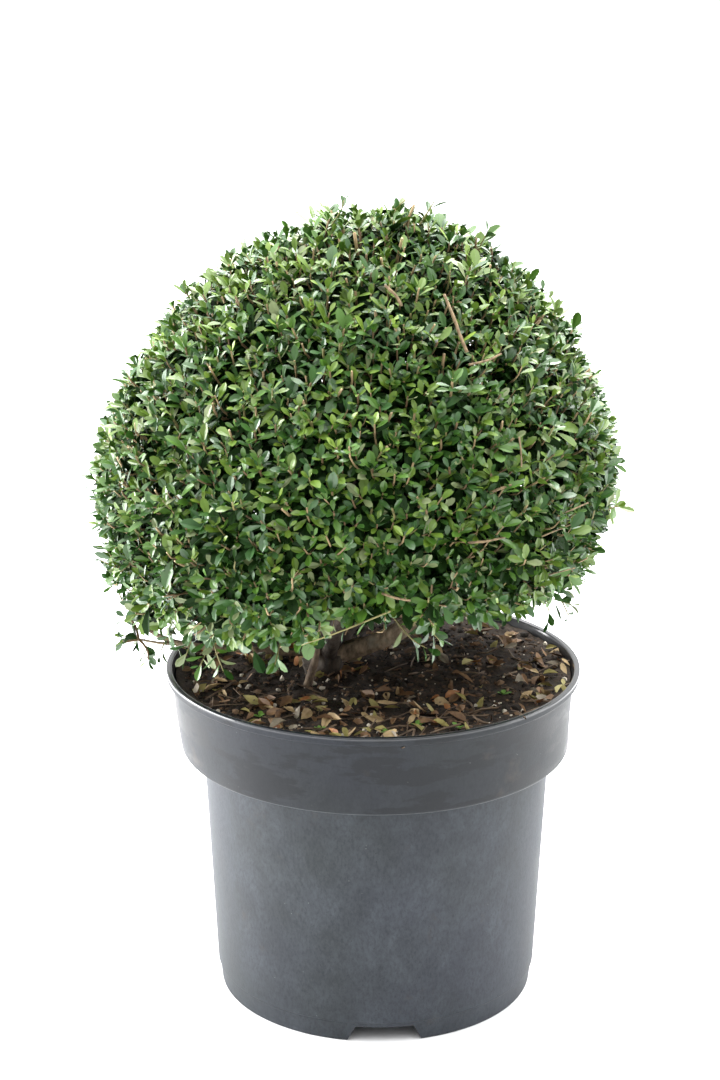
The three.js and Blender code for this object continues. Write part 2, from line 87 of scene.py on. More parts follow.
TRUNK_FOOT = (-0.036, 0.007, 0.2155)
TRUNK_MIDDLE = (-0.0315, 0.0053, 0.2244)
TRUNK_FORK = (-0.031, 0.0055, 0.231)
TRUNK_RADIUS = 0.011
FORK_RADIUS = 0.0095
FLARE = 0.006
FORK_START = (-0.0323, 0.0059, 0.2277)

# Each bough: its bend, its tip, and its radius at both ends.
BOUGHS = {
    "front": ((-0.027, -0.038, 0.262), (-0.020, -0.072, 0.287), 0.0056, 0.0036),
    "right": ((0.010, 0.001, 0.245), (0.060, -0.018, 0.285), 0.0072, 0.0050),
    "back_right": ((-0.004, 0.038, 0.259), (0.028, 0.068, 0.283), 0.0066, 0.0042),
    "back_left": ((-0.048, 0.034, 0.259), (-0.062, 0.066, 0.282), 0.0060, 0.0040),
    "left": ((-0.062, -0.004, 0.258), (-0.088, -0.012, 0.285), 0.0062, 0.0040),
    "top": ((-0.020, 0.005, 0.300), (-0.012, 0.004, 0.380), 0.0082, 0.0050),
}
THIN_STEM = ((-0.047, -0.021, 0.213), (-0.040, -0.027, 0.240), (-0.037, -0.040, 0.281))
LOW_BRANCH = (
    (-0.036, 0.005, 0.230),
    (-0.084, -0.016, 0.240),
    (-0.126, -0.022, 0.246),
    (-0.150, -0.017, 0.254),
    (-0.168, -0.008, 0.272),
)
LEVEL_TWIG = ((-0.125, -0.022, 0.2458), (-0.142, -0.023, 0.247), (-0.157, -0.021, 0.249))

# Sizes of the finer growth

SHOOTS = 3800
LEAVES_PER_SHOOT = 15
FEWER_LEAVES = 6  # on most shoots where the crown is open, and on a few others
LEAF_LENGTH = 0.0098
LOW_LEAF_GAIN = 0.22  # share by which leaves low on the crown are longer
LEAF_WIDTH = 0.45  # of its length
BARE_SHARE = 0.05  # shoots that were clipped and bear no leaf at their tip
BARE_NODES = 5  # nodes without a leaf there
STEM_REACH = 0.62
STEM_RISE = 0.014
LATERALS = 13  # for each mass
LATERAL_REACH = 0.62
LATERAL_RADIUS = 0.0024
SUB_LATERALS = 62
SUB_REACH = 0.84
SUB_RADIUS = 0.0016
SUB_TIP_RADIUS = 0.0010
GOLDEN_ANGLE = math.pi * (3 - math.sqrt(5))


# Numbers, vectors and noise


def unit(v):
    return v / np.maximum(np.linalg.norm(v, axis=-1, keepdims=True), 1e-12)


def square_to(direction):
    """Two unit vectors square to each direction and to each other."""
    steep = np.abs(direction[..., 2:3]) > 0.9
    hint = np.where(steep, np.array((1.0, 0.0, 0.0)), np.array((0.0, 0.0, 1.0)))
    side = unit(np.cross(hint, direction))
    return side, np.cross(direction, side)


def angles_round(count):
    return np.arange(count) * 2 * math.pi / count


def turned_from(side, other, angle):
    """The directions at an angle from side towards other."""
    return side * np.cos(angle)[..., None] + other * np.sin(angle)[..., None]


def lattice_noise(points, cell, seed):
    """Smooth noise from -1 to 1, with features about one cell across."""
    shift = 512.0  # keeps the lattice's numbers above 0
    scaled = np.asarray(points) / cell + shift
    base = np.floor(scaled).astype(np.int64)
    part = scaled - base
    part = part * part * (3 - 2 * part)
    total = np.zeros(len(scaled))
    for corner in itertools.product((0, 1), repeat=3):
        x, y, z = (base + corner).T
        # Large primes scatter the bits of the corner's place.
        key = x * 73856093 ^ y * 19349663 ^ z * 83492791 ^ seed * 15485863
        key = (key ^ (key >> 13)) * 1274126177 & 0x7FFFFFFF
        value = (key >> 8 & 0xFFFF) / 32767.5 - 1
        total += value * np.prod(np.where(corner, part, 1 - part), axis=1)
    return total


def layered_noise(points, cell, layers, seed):
    """Noise on noise, each layer half as large and half as strong as the one before."""
    return sum(lattice_noise(points, cell / 2**i, seed + i) / 2**i for i in range(layers))


def smooth_path(points, count):
    """A Catmull-Rom curve through the points, as count points along it."""
    p = np.array(points, dtype=float)
    p = np.vstack((2 * p[0] - p[1], p, 2 * p[-1] - p[-2]))
    spans = len(p) - 3
    t = np.linspace(0, spans, count)
    i = np.minimum(t.astype(int), spans - 1)
    u = (t - i)[:, None]
    a, b, c, d = p[i], p[i + 1], p[i + 2], p[i + 3]
    curve = 2 * b + (c - a) * u + (2 * a - 5 * b + 4 * c - d) * u**2 + (3 * b - a - 3 * c + d) * u**3
    return curve / 2


# Meshes


def added(name, data):
    """A new object in the scene."""
    thing = bpy.data.objects.new(name, data)
    bpy.context.scene.collection.objects.link(thing)
    return thing


def mesh_piece(name, points, faces, materials, slots=None, smooth=True):
    """A piece from arrays: faces is (n, 3) or (n, 4), and slots gives each face's material."""
    faces = np.asarray(faces, dtype=np.int32)
    corners = faces.shape[1]
    mesh = bpy.data.meshes.new(name)
    mesh.vertices.add(len(points))
    mesh.vertices.foreach_set("co", np.asarray(points, dtype=np.float32).ravel())
    mesh.loops.add(faces.size)
    mesh.loops.foreach_set("vertex_index", faces.ravel())
    mesh.polygons.add(len(faces))
    mesh.polygons.foreach_set("loop_start", np.arange(0, faces.size, corners, dtype=np.int32))
    if slots is not None:
        mesh.polygons.foreach_set("material_index", np.asarray(slots, dtype=np.int32))
    mesh.polygons.foreach_set("use_smooth", np.full(len(faces), smooth))
    for material in materials:
        mesh.materials.append(material)
    mesh.update(calc_edges=True)
    mesh.validate()
    piece = added(name, mesh)
    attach(piece, "root")
    return piece


def joined(parts):
    """Parts of (points, faces, slots) as one."""
    points, faces, slots = zip(*parts)
    offsets = np.cumsum([0] + [len(p) for p in points])
    return np.vstack(points), np.vstack([f + o for f, o in zip(faces, offsets)]), np.concatenate(slots)


def turned(profile, segments):
    """A closed profile of (radius, height) turned round the vertical axis, as points and quads."""
    angles = angles_round(segments)
    r, z = np.array(profile).T
    factors = ((np.cos(angles), r), (np.sin(angles), r), (np.ones(segments), z))
    points = np.stack([np.outer(*pair) for pair in factors], axis=-1)
    count = len(profile)
    i, j = np.meshgrid(np.arange(segments), np.arange(count - 1), indexing="ij")
    here, after = i * count + j, (i + 1) % segments * count + j
    return points.reshape(-1, 3), np.stack((here, after, after + 1, here + 1), axis=-1).reshape(-1, 4)


def ring_walls(index):
    """The triangles between each ring of points and the next, where index is (..., rings, sides)."""
    a, b = index[..., :-1, :], index[..., 1:, :]
    a_next, b_next = np.roll(a, -1, axis=-1), np.roll(b, -1, axis=-1)
    return np.concatenate((np.stack((a, a_next, b_next), -1), np.stack((a, b_next, b), -1)), axis=-2)


def tubes(paths, radii, sides):
    """Joined tubes with closed far ends: paths is (n, k, 3) and radii (n, k).

    The faces come with the number of their path and with whether they are an end.
    """
    n, k = paths.shape[:2]
    side, other = square_to(unit(paths[:, -1] - paths[:, 0]))
    ring = turned_from(side[:, None], other[:, None], angles_round(sides))
    points = paths[:, :, None] + radii[:, :, None, None] * ring[:, None]
    index = np.arange(n * k * sides).reshape(n, k, sides)
    last = index[:, -1]
    ends = [np.stack((last[:, 0], last[:, j], last[:, j + 1]), -1) for j in range(1, sides - 1)]
    faces = np.concatenate((ring_walls(index).reshape(n, -1, 3), np.stack(ends, axis=1)), axis=1)
    count = faces.shape[1]
    is_end = np.broadcast_to(np.arange(count) >= count - len(ends), (n, count))
    path_of = np.broadcast_to(np.arange(n)[:, None], (n, count))
    return points.reshape(-1, 3), faces.reshape(-1, 3), path_of.ravel(), is_end.ravel()


# Materials


class Tree:
    """Short calls for building a node tree. A value is a number, a tuple or another node's output."""

    def __init__(self, owner):
        owner.use_nodes = True
        self.tree = owner.node_tree

    def feed(self, value, socket):
        if isinstance(value, bpy.types.NodeSocket):
            self.tree.links.new(value, socket)
        elif isinstance(value, tuple):
            # A colour is given without its alpha.
            socket.default_value = (*value, 1)[: len(socket.default_value)]
        else:
            socket.default_value = value

    def new(self, kind, values=()):
        node = self.tree.nodes.new("ShaderNode" + kind)
        for name, value in dict(values).items():
            self.feed(value, node.inputs[name])
        return node

    def maths(self, operation, first, second, clamp=True):
        node = self.new("Math")
        node.operation = operation
        node.use_clamp = clamp
        self.feed(first, node.inputs[0])
        self.feed(second, node.inputs[1])
        return node.outputs[0]

    def spread(self, value, start, end=(0.0, 1.0), interpolation="LINEAR"):
        """A change from one range of values to another."""
        names = ("From Min", "From Max", "To Min", "To Max")
        node = self.new("MapRange", {"Value": value, **dict(zip(names, (*start, *end)))})
        node.interpolation_type = interpolation
        return node.outputs["Result"]


class Surface(Tree):
    """A material, whose textures go by Object coordinates in metres."""

    def __init__(self, name, roughness, specular=0.5):
        self.material = bpy.data.materials.new(name)
        super().__init__(self.material)
        self.shader = self.tree.nodes["Principled BSDF"]
        self.painted({"Roughness": roughness, "Specular IOR Level": specular})

    @functools.cached_property
    def place(self):
        return self.new("TexCoord").outputs["Object"]

    def stretched(self, along, slant=0.0):
        """The place, drawn out upright or along a slant, so that a noise on it makes streaks."""
        values = {"Vector": self.place, "Scale": (1, 1, along), "Rotation": (0, slant, 0)}
        node = self.new("Mapping", values)
        node.vector_type = "TEXTURE"
        return node.outputs["Vector"]

    def noise(self, scale, detail=4.0, roughness=0.55, vector=None):
        values = {"Scale": scale, "Detail": detail, "Roughness": roughness}
        return self.new("TexNoise", {"Vector": vector or self.place, **values}).outputs["Fac"]

    def cells(self, scale):
        return self.new("TexVoronoi", {"Vector": self.place, "Scale": scale}).outputs["Distance"]

    def height(self, length, start):
        """The height above the floor, as 0 to 1 from a start over a length."""
        split = self.new("SeparateXYZ", {"Vector": self.place})
        return self.spread(split.outputs["Z"], (start, start + length))

    def ramp(self, value, *stops):
        """Stops are (position, colour), where a single number is a grey."""
        node = self.new("ValToRGB", {"Fac": value})
        elements = node.color_ramp.elements
        while len(elements) < len(stops):
            elements.new(0.5)
        for element, (position, colour) in zip(elements, stops):
            element.position = position
            element.color = (*colour, 1) if isinstance(colour, tuple) else (colour, colour, colour, 1)
        return node.outputs["Color"]

    def mix(self, share, first, second):
        node = self.new("Mix")
        node.data_type = "RGBA"
        for value, i in ((share, 0), (first, 6), (second, 7)):
            self.feed(value, node.inputs[i])
        return node.outputs[2]

    def bump(self, height, distance, strength=1.0):
        node = self.new("Bump", {"Distance": distance, "Strength": strength, "Height": height})
        normal = self.shader.inputs["Normal"]
        if normal.is_linked:
            self.feed(normal.links[0].from_socket, node.inputs["Normal"])
        self.feed(node.outputs["Normal"], normal)

    def painted(self, values):
        for name, value in values.items():
            self.feed(value, self.shader.inputs[name])
        return self.material


def plain_material(name, colour, roughness, specular=0.5, coat=0.0):
    """One even colour. A leaf has a coat, which makes its gloss."""
    values = {"Base Color": colour, "Coat Weight": coat, "Coat Roughness": 0.25}
    return Surface(name, roughness, specular).painted(values)


def pot_marks(n, collar):
    """How pale the pot is: dust, streaks and scuffs, fainter on its collar, and a haze on its body."""
    dust = n.ramp(n.noise(30, 9, 0.74), (0.42, 0.0), (0.74, 0.40))
    streak = n.ramp(n.noise(60, 5, 0.6, n.stretched(7.0)), (0.54, 0.0), (0.76, 0.14))
    scuff = n.ramp(n.noise(48, 6, 0.66, n.stretched(5.0, 0.5)), (0.52, 0.0), (0.70, 0.22))
    rubbed = n.ramp(n.noise(54, 6, 0.66, n.stretched(5.0, -0.6)), (0.54, 0.0), (0.70, 0.20))
    marks = n.maths("ADD", n.maths("ADD", dust, streak), n.maths("ADD", scuff, rubbed))
    marks = n.maths("MULTIPLY", marks, n.ramp(collar, (0.0, 1.0), (1.0, 0.4)))
    haze = n.ramp(n.height(20 * MM, COLLAR_BOTTOM - 12.5 * MM), (0.0, 0.16), (1.0, 0.0))
    return n.maths("ADD", marks, haze)


def pot_material():
    """Recycled plastic: grey, satin, with pale dust, scuffs, damp patches on its collar and specks,
    painted shade over its collar and a painted highlight along the collar's lower edge.
    """
    n = Surface("pot_plastic", 0.42, specular=0.22)
    collar = n.height(3 * MM, COLLAR_BOTTOM - 1 * MM)
    marks = pot_marks(n, collar)
    grain = n.ramp(n.noise(520, 5, 0.75, n.stretched(1.8)), (0.44, 0.0), (0.72, 0.5))
    # The whole collar is painted darker: painted shade.
    darker = n.ramp(collar, (0.0, 0.0), (1.0, 0.35))
    damp = n.ramp(n.noise(17, 6, 0.62, n.stretched(0.3)), (0.50, 0.0), (0.54, 0.7))
    damp = n.maths("MULTIPLY", damp, collar)
    stain = n.ramp(n.noise(24, 5, 0.7), (0.62, 0.0), (0.76, 0.5))
    pinhole = n.ramp(n.cells(260), (0.05, 0.9), (0.10, 0.0))
    rare = n.ramp(n.noise(60, 3), (0.56, 0.0), (0.60, 1.0))
    pale = n.ramp(n.cells(210), (0.04, 0.6), (0.07, 0.0))
    few = n.ramp(n.noise(55, 2), (0.60, 0.0), (0.64, 1.0))
    # A painted highlight: a pale band along the collar's lower edge.
    painted_lip_highlight = n.ramp(n.height(3 * MM, COLLAR_BOTTOM - 0.6 * MM), (0.0, 0.0), (0.3, 0.6), (0.6, 0.0))
    colour = n.ramp(n.noise(8, 3), (0.35, (0.0142, 0.0176, 0.0190)), (0.65, (0.0168, 0.0198, 0.0280)))
    # What lies over the plain grey, from below: its share and its colour.
    layers = (
        (marks, (0.062, 0.071, 0.082)),
        (grain, (0.004, 0.005, 0.007)),
        (darker, (0.0030, 0.0040, 0.0055)),
        (damp, (0.0030, 0.0040, 0.0058)),
        (stain, (0.046, 0.036, 0.028)),
        (n.maths("MULTIPLY", pinhole, rare), (0.006, 0.0055, 0.005)),
        (n.maths("MULTIPLY", pale, few), (0.20, 0.20, 0.19)),
        (painted_lip_highlight, (0.16, 0.17, 0.175)),
    )
    for share, tint in layers:
        colour = n.mix(share, colour, tint)
    rough = n.mix(damp, n.ramp(marks, (0.0, 0.50), (0.6, 0.62)), (0.42, 0.42, 0.42))
    n.bump(n.noise(700, 4, 0.7), 0.1 * MM, 0.7)
    n.bump(n.noise(22, 3), 1.2 * MM, 0.35)
    # The rim's edge is smooth and shiny.
    shine = n.height(1 * MM, POT_HEIGHT - 2.2 * MM)
    return n.painted(
        {"Base Color": colour, "Roughness": rough, "Coat Weight": shine, "Coat Roughness": 0.12}
    )


def soil_material():
    n = Surface("soil_peat", 0.95)
    fine = n.ramp(n.noise(420, 8, 0.7), (0.35, (0.009, 0.006, 0.004)), (0.62, (0.062, 0.039, 0.023)))
    damp = n.ramp(n.noise(30, 4), (0.4, 0.0), (0.65, 0.5))
    n.bump(n.noise(700, 8, 0.75), 1.2 * MM, 0.9)
    return n.painted({"Base Color": n.mix(damp, fine, (0.012, 0.009, 0.0075))})


def bark_material(name, dark, pale, lichen):
    n = Surface(name, 0.82)
    along = n.stretched(2.2)
    colour = n.ramp(n.noise(260, 7, 0.65, along), (0.34, dark), (0.66, pale))
    patch = n.ramp(n.noise(75, 5, 0.6), (0.55, 0.0), (0.72, 0.75))
    n.bump(n.noise(480, 7, 0.7, along), 0.9 * MM, 0.9)
    return n.painted({"Base Color": n.mix(patch, colour, lichen)})


def litter_material(name, dark, pale):
    n = Surface(name, 0.62)
    n.bump(n.noise(600, 4), 0.3 * MM, 0.6)
    return n.painted({"Base Color": n.ramp(n.noise(160, 5, 0.6), (0.3, dark), (0.7, pale))})


# Leaf colours are dealt out by spray: name, colour, roughness, gloss and how common it is.
LEAF_COLOURS = (
    ("leaf_deep", (0.026, 0.086, 0.009), 0.45, 0.42, 0.30),
    ("leaf_blue", (0.031, 0.090, 0.021), 0.42, 0.46, 0.12),
    ("leaf_mid", (0.053, 0.132, 0.011), 0.45, 0.42, 0.32),
    ("leaf_warm", (0.094, 0.166, 0.015), 0.46, 0.42, 0.26),
    ("leaf_young", (0.180, 0.280, 0.034), 0.45, 0.45, 0),
    ("leaf_back", (0.168, 0.208, 0.092), 0.55, 0.35, 0),
    # The last colour is nearly black: painted shade for the leaves deep inside the crown.
    ("leaf_inner", (0.006, 0.022, 0.002), 0.70, 0.08, 0),
)
DEEP, BLUE, MID, WARM, YOUNG, BACK, PAINTED_SHADE = range(7)
OWN_SHARE = 0.62  # leaves that have their spray's own colour
BACK_SHARE = 0.06  # leaves that show their paler underside
OUTER_LEAVES = 4  # from a shoot's tip, before the dark ones inside the crown begin

TWIG_COLOURS = (
    ("twig_brown", (0.150, 0.095, 0.044), 0.7),
    ("twig_cut", (0.42, 0.32, 0.18), 0.8),
    ("twig_green", (0.190, 0.170, 0.060), 0.6),
    ("twig_tan", (0.280, 0.200, 0.100), 0.75),
)
TWIG_BROWN, TWIG_CUT, TWIG_GREEN, TWIG_TAN = range(4)

CRUMB_COLOURS = (
    ("crumb_black", (0.017, 0.012, 0.008), 0.95),
    ("crumb_brown", (0.075, 0.045, 0.026), 0.95),
    ("crumb_bark", (0.170, 0.105, 0.058), 0.9),
)

# Fallen leaves: name, dark and pale colour and share of the leaves.
LITTER_COLOURS = (
    ("litter_brown", (0.110, 0.056, 0.026), (0.27, 0.155, 0.070), 0.42),
    ("litter_tan", (0.33, 0.225, 0.105), (0.62, 0.46, 0.25), 0.18),
    ("litter_rust", (0.22, 0.080, 0.024), (0.46, 0.20, 0.062), 0.08),
    ("litter_olive", (0.20, 0.175, 0.050), (0.42, 0.36, 0.125), 0.22),
    ("litter_grey", (0.17, 0.140, 0.096), (0.36, 0.31, 0.235), 0.1),
)

# Barks: their dark, their pale and their lichen colour. The trunk's bark is painted dark as painted
# shade, and the bough's bark, worn only by the right bough, is painted pale as painted light.
BARKS = {
    "trunk": ((0.020, 0.014, 0.010), (0.075, 0.054, 0.036), (0.065, 0.060, 0.045)),
    "bough": ((0.140, 0.100, 0.065), (0.500, 0.380, 0.260), (0.36, 0.33, 0.25)),
    "stem": ((0.075, 0.052, 0.034), (0.250, 0.180, 0.120), (0.19, 0.17, 0.12)),
    "branch": ((0.105, 0.074, 0.044), (0.360, 0.265, 0.170), (0.28, 0.26, 0.18)),
    "bared": ((0.095, 0.062, 0.033), (0.290, 0.205, 0.110), (0.24, 0.20, 0.12)),
}


# Pot


def fillet(before, corner, after, radius, steps=4):
    """The points of an arc that rounds a corner of a profile."""
    a, b, c = (np.array(p, dtype=float) for p in (before, corner, after))
    reach = min(radius, 0.45 * np.linalg.norm(a - b), 0.45 * np.linalg.norm(c - b))
    start = b + (a - b) / np.linalg.norm(a - b) * reach
    end = b + (c - b) / np.linalg.norm(c - b) * reach
    t = np.linspace(0, 1, steps + 1)[:, None]
    return [tuple(p) for p in (1 - t) ** 2 * start + 2 * t * (1 - t) * b + t**2 * end]


def pot_profile():
    """The pot's half section, from its axis below to its axis above the floor."""
    under_rim = POT_HEIGHT - RIM_DEPTH
    skirt = FOOT_RADIUS - WALL - 0.4 * MM
    # Each corner: radius, height and the millimetres by which it is rounded.
    corners = [
        (0, 0, 0),
        (PAD_RADIUS, 0, 1.5),
        (PAD_RADIUS + PAD_SLOPE, FLOOR_HEIGHT, 1.5),
        (skirt, FLOOR_HEIGHT, 0.8),
        (skirt, 0, 0.5),
        (FOOT_RADIUS, 0, 1.2),
        (BODY_BOTTOM_RADIUS - 1 * MM, FOOT_BAND, 0.6),
        (BODY_BOTTOM_RADIUS, FOOT_BAND + 0.8 * MM, 1.2),
        (BODY_TOP_RADIUS, COLLAR_BOTTOM + 0.6 * MM, 2.2),
        (COLLAR_BOTTOM_RADIUS - 0.4 * MM, COLLAR_BOTTOM, 2.6),
        (COLLAR_TOP_RADIUS, under_rim - 0.8 * MM, 1.4),
        (RIM_RADIUS, under_rim, 1.2),
        (RIM_RADIUS, POT_HEIGHT, 1.1),
        (RIM_RADIUS - RIM_WIDTH, POT_HEIGHT, 1.0),
        (COLLAR_TOP_RADIUS - WALL, under_rim - 1 * MM, 3.0),
        (COLLAR_BOTTOM_RADIUS - WALL, COLLAR_BOTTOM + 2.6 * MM, 2.0),
        (BODY_TOP_RADIUS - WALL, COLLAR_BOTTOM + 2.2 * MM, 2.0),
        (BODY_BOTTOM_RADIUS - WALL - 1 * MM, FLOOR_TOP, 2.0),
        (PAD_RADIUS + PAD_SLOPE - WALL, FLOOR_TOP, 1.5),
        (PAD_RADIUS - WALL, WALL, 1.5),
        (0, WALL, 0),
    ]
    profile = [corners[0][:2]]
    for before, corner, after in zip(corners, corners[1:], corners[2:]):
        profile += fillet(before[:2], corner[:2], after[:2], corner[2] * MM)
    return [*profile, corners[-1][:2]]


def with_steps(profile, longest):
    """The profile with its long stretches divided, so that its wall can wander a little."""
    out = [profile[0]]
    for (r0, z0), (r1, z1) in zip(profile, profile[1:]):
        steps = max(1, math.ceil(math.hypot(r1 - r0, z1 - z0) / longest))
        for i in range(1, steps + 1):
            out.append((r0 + (r1 - r0) * i / steps, z0 + (z1 - z0) * i / steps))
    return out


def notch_cutter(angle):
    """A block with sloping sides, as wide as the notch at its foot and narrower at its top."""
    reach, below = 12 * MM, -1 * MM
    low, high = NOTCH_BOTTOM / 2 + 0.5 * MM, NOTCH_TOP / 2
    outline = ((-low, below), (low, below), (high, NOTCH_HEIGHT), (-high, NOTCH_HEIGHT))
    corners = [(r, y, z) for r in (FOOT_RADIUS - reach, FOOT_RADIUS + reach) for y, z in outline]
    faces = [(0, 3, 2, 1), (4, 5, 6, 7), (0, 1, 5, 4), (1, 2, 6, 5), (2, 3, 7, 6), (3, 0, 4, 7)]
    mesh = bpy.data.meshes.new("notch")
    mesh.from_pydata(corners, [], faces)
    mesh.transform(Matrix.Rotation(angle, 4, "Z"))
    return added("notch", mesh)


def cut(piece, cutter):
    """Cuts the cutter out of the piece, and removes the cutter."""
    modifier = piece.modifiers.new("cut", "BOOLEAN")
    modifier.object = cutter
    modifier.solver = "EXACT"
    depsgraph = bpy.context.evaluated_depsgraph_get()
    mesh = bpy.data.meshes.new_from_object(piece.evaluated_get(depsgraph))
    piece.modifiers.remove(modifier)
    piece.data = mesh
    bpy.data.objects.remove(cutter)


def settled(points):
    """The soft pot has been carried by its rim: its collar sits a little to the left of its foot."""
    low, depth, shift = 0.15, 0.05, 2.4 * MM
    rise = np.clip((points[:, 2] - low) / depth, 0, 1)
    moved = points.copy()
    moved[:, 0] -= shift * rise * rise * (3 - 2 * rise)
    return moved


def make_pot():
    segments, longest = 160, 12 * MM
    points, quads = turned(with_steps(pot_profile(), longest), segments)
    # A moulded wall is never quite round: it wanders by a fraction of a millimetre above its foot.
    wander, cell, foot = 0.0022, 0.09, 0.02
    noise = lattice_noise(points * (1, 1, 0.5), cell, 4)[:, None]
    points[:, :2] *= 1 + wander * noise * (points[:, 2:] > foot)
    pot = mesh_piece("pot_shell", settled(points), quads, [pot_material()])
    merge_axis(pot.data)
    for angle in angles_round(NOTCH_COUNT):
        cut(pot, notch_cutter(NOTCH_ANGLE + angle))
    pot.data.shade_smooth()
    pot.data.set_sharp_from_angle(angle=math.radians(38))
    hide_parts("pot")


def merge_axis(mesh):
    """Merges the points that a turned profile leaves on its axis."""
    work = bmesh.new()
    work.from_mesh(mesh)
    bmesh.ops.remove_doubles(work, verts=work.verts, dist=1e-7)
    bmesh.ops.dissolve_degenerate(work, edges=work.edges, dist=1e-7)
    bmesh.ops.recalc_face_normals(work, faces=work.faces)
    work.to_mesh(mesh)
    work.free()


# Soil and what lies on it


def soil_height(x, y):
    """The height of the soil's surface: rough, wandering, and higher at the wall and the trunk."""
    wander, rough, wall_rise, trunk_rise = 2.4 * MM, 1.5 * MM, 3.2 * MM, 2.0 * MM
    edge_start, edge_width, trunk_reach = 0.112, 0.018, 0.03
    points = np.stack((x, y, np.zeros_like(x)), axis=-1)
    edge = np.clip((np.hypot(x, y) - edge_start) / edge_width, 0, 1)
    height = SOIL_TOP + wander * lattice_noise(points, 0.045, 21) * (1 - edge) + wall_rise * edge
    height += rough * layered_noise(points, 0.011, 4, 22)
    near_trunk = np.exp(-((x - TRUNK_FOOT[0]) ** 2 + (y - TRUNK_FOOT[1]) ** 2) / trunk_reach**2)
    return height + trunk_rise * near_trunk


def make_soil():
    rings, segments = 96, 280
    radii = np.sqrt(np.linspace(0, 1, rings)) * (COLLAR_TOP_RADIUS - WALL - 0.2 * MM)
    bottom = FLOOR_TOP + 0.4 * MM
    profile = [
        *((r, SOIL_TOP) for r in radii),
        (COLLAR_BOTTOM_RADIUS - WALL - 0.8 * MM, COLLAR_BOTTOM + 3.4 * MM),
        (BODY_TOP_RADIUS - WALL - 0.8 * MM, COLLAR_BOTTOM + 2.6 * MM),
        (BODY_BOTTOM_RADIUS - WALL - 1.8 * MM, bottom),
        (0, bottom),
    ]
    points, quads = turned(profile, segments)
    surface = points[:, 2] > SOIL_TOP - 1e-6
    points[surface, 2] = soil_height(points[surface, 0], points[surface, 1])
    soil = mesh_piece("soil_body", settled(points), quads[:, ::-1], [soil_material()])
    merge_axis(soil.data)
    soil.data.shade_smooth()
    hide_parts("soil")


GOLDEN_RATIO = 1.618
SIGNS = tuple(itertools.product((-1, 1), repeat=2))
ICOSAHEDRON = unit(
    np.array([np.roll((0, s, t * GOLDEN_RATIO), -axis) for axis in range(3) for s, t in SIGNS])
)


def icosahedron_faces():
    """The triangles between points that are all neighbours."""
    near = np.linalg.norm(ICOSAHEDRON[:, None] - ICOSAHEDRON[None], axis=-1) < 1.1
    faces = []
    for a, b, c in itertools.combinations(range(len(ICOSAHEDRON)), 3):
        if near[a, b] and near[b, c] and near[a, c]:
            p, q, r = ICOSAHEDRON[[a, b, c]]
            faces.append((a, b, c) if np.dot(np.cross(q - p, r - p), p) > 0 else (a, c, b))
    return np.array(faces)


def spots_on_soil(rng, count, lean=0.0, patchy=0.0):
    """Points on the soil inside the rim. lean above 0 gathers them at the front, patchy in patches."""
    reach = COLLAR_TOP_RADIUS - WALL - 4 * MM
    tries = count * 12
    spots = rng.uniform(-reach, reach, (tries, 2))
    side = (spots[:, 0] * 0.4 - spots[:, 1] * 0.9) / reach
    patch = lattice_noise(np.column_stack((spots, np.zeros(tries))), 0.022, 41)
    chance = 1 / (1 + np.exp(-4 * (lean * side + patchy * patch)))
    keep = (np.hypot(*spots.T) < reach) & (rng.random(tries) < chance)
    x, y = spots[keep][:count].T
    return np.stack((x, y, soil_height(x, y)), axis=-1)


def lumps(rng, centres, sizes, squash=0.75):
    """Small uneven lumps, as points and faces."""
    n, corners = len(centres), len(ICOSAHEDRON)
    shape = ICOSAHEDRON[None] * (1 + 0.38 * rng.uniform(-1, 1, (n, corners, 1)))
    stretch = rng.uniform(0.7, 1.3, (n, 1, 3)) * (1, 1, squash)
    points = centres[:, None] + shape * stretch * sizes[:, None, None] / 2
    faces = icosahedron_faces()[None] + corners * np.arange(n)[:, None, None]
    return points.reshape(-1, 3), faces.reshape(-1, 3)


def make_crumbs():
    rng = np.random.default_rng(31)
    count = 3400
    centres = spots_on_soil(rng, count)
    sizes = rng.gamma(3.0, 0.62 * MM, count) + 0.5 * MM
    points, faces = lumps(rng, centres, sizes)
    shades = rng.choice(3, count, p=(0.5, 0.35, 0.15))
    shades = np.repeat(shades, len(faces) // count)
    colours = [plain_material(*row) for row in CRUMB_COLOURS]
    mesh_piece("soil_crumbs", points, faces, colours, shades, smooth=False)


def make_perlite():
    """White grains, most of them fine and some coarse."""
    rng = np.random.default_rng(32)
    count = 170
    centres = spots_on_soil(rng, count) + (0, 0, 0.6 * MM)
    coarse = rng.random(count) < 0.3
    sizes = np.where(coarse, rng.uniform(2.4, 4.2, count), rng.uniform(0.8, 1.8, count))
    points, faces = lumps(rng, centres, sizes * MM, 0.85)
    white = plain_material("perlite", (0.60, 0.54, 0.44), 0.9)
    mesh_piece("soil_perlite", points, faces, [white], smooth=False)


def make_litter():
    """Fallen leaves, dry and curled, thick at the front."""
    rng = np.random.default_rng(33)
    count = 340
    spots = spots_on_soil(rng, count, lean=0.9, patchy=2.0)
    length = rng.uniform(7.0, 14.5, count) * MM
    turn = rng.uniform(0, 2 * math.pi, count)
    tilt = rng.normal(0, 0.35, count)
    along = np.stack((np.cos(turn) * np.cos(tilt), np.sin(turn) * np.cos(tilt), np.sin(tilt)), -1)
    up = unit(np.array((0, 0, 1.0)) + rng.normal(0, 0.45, (count, 3)))
    roots = spots - along * length[:, None] / 2
    roots[:, 2] += rng.uniform(0.5, 3.5, count) * MM
    curl = rng.normal(0.1, 0.28, count)
    shape = dict(width=rng.uniform(0.42, 0.6, count), fold=rng.uniform(0.05, 0.8, count), curl=curl)
    points, faces = leaf_blades(roots, along, up, length, **shape)
    shades = rng.choice(len(LITTER_COLOURS), count, p=[share for *_, share in LITTER_COLOURS])
    shades = np.repeat(shades, len(LEAF_FACES))
    colours = [litter_material(name, dark, pale) for name, dark, pale, _ in LITTER_COLOURS]
    mesh_piece("soil_litter", points, faces, colours, shades)


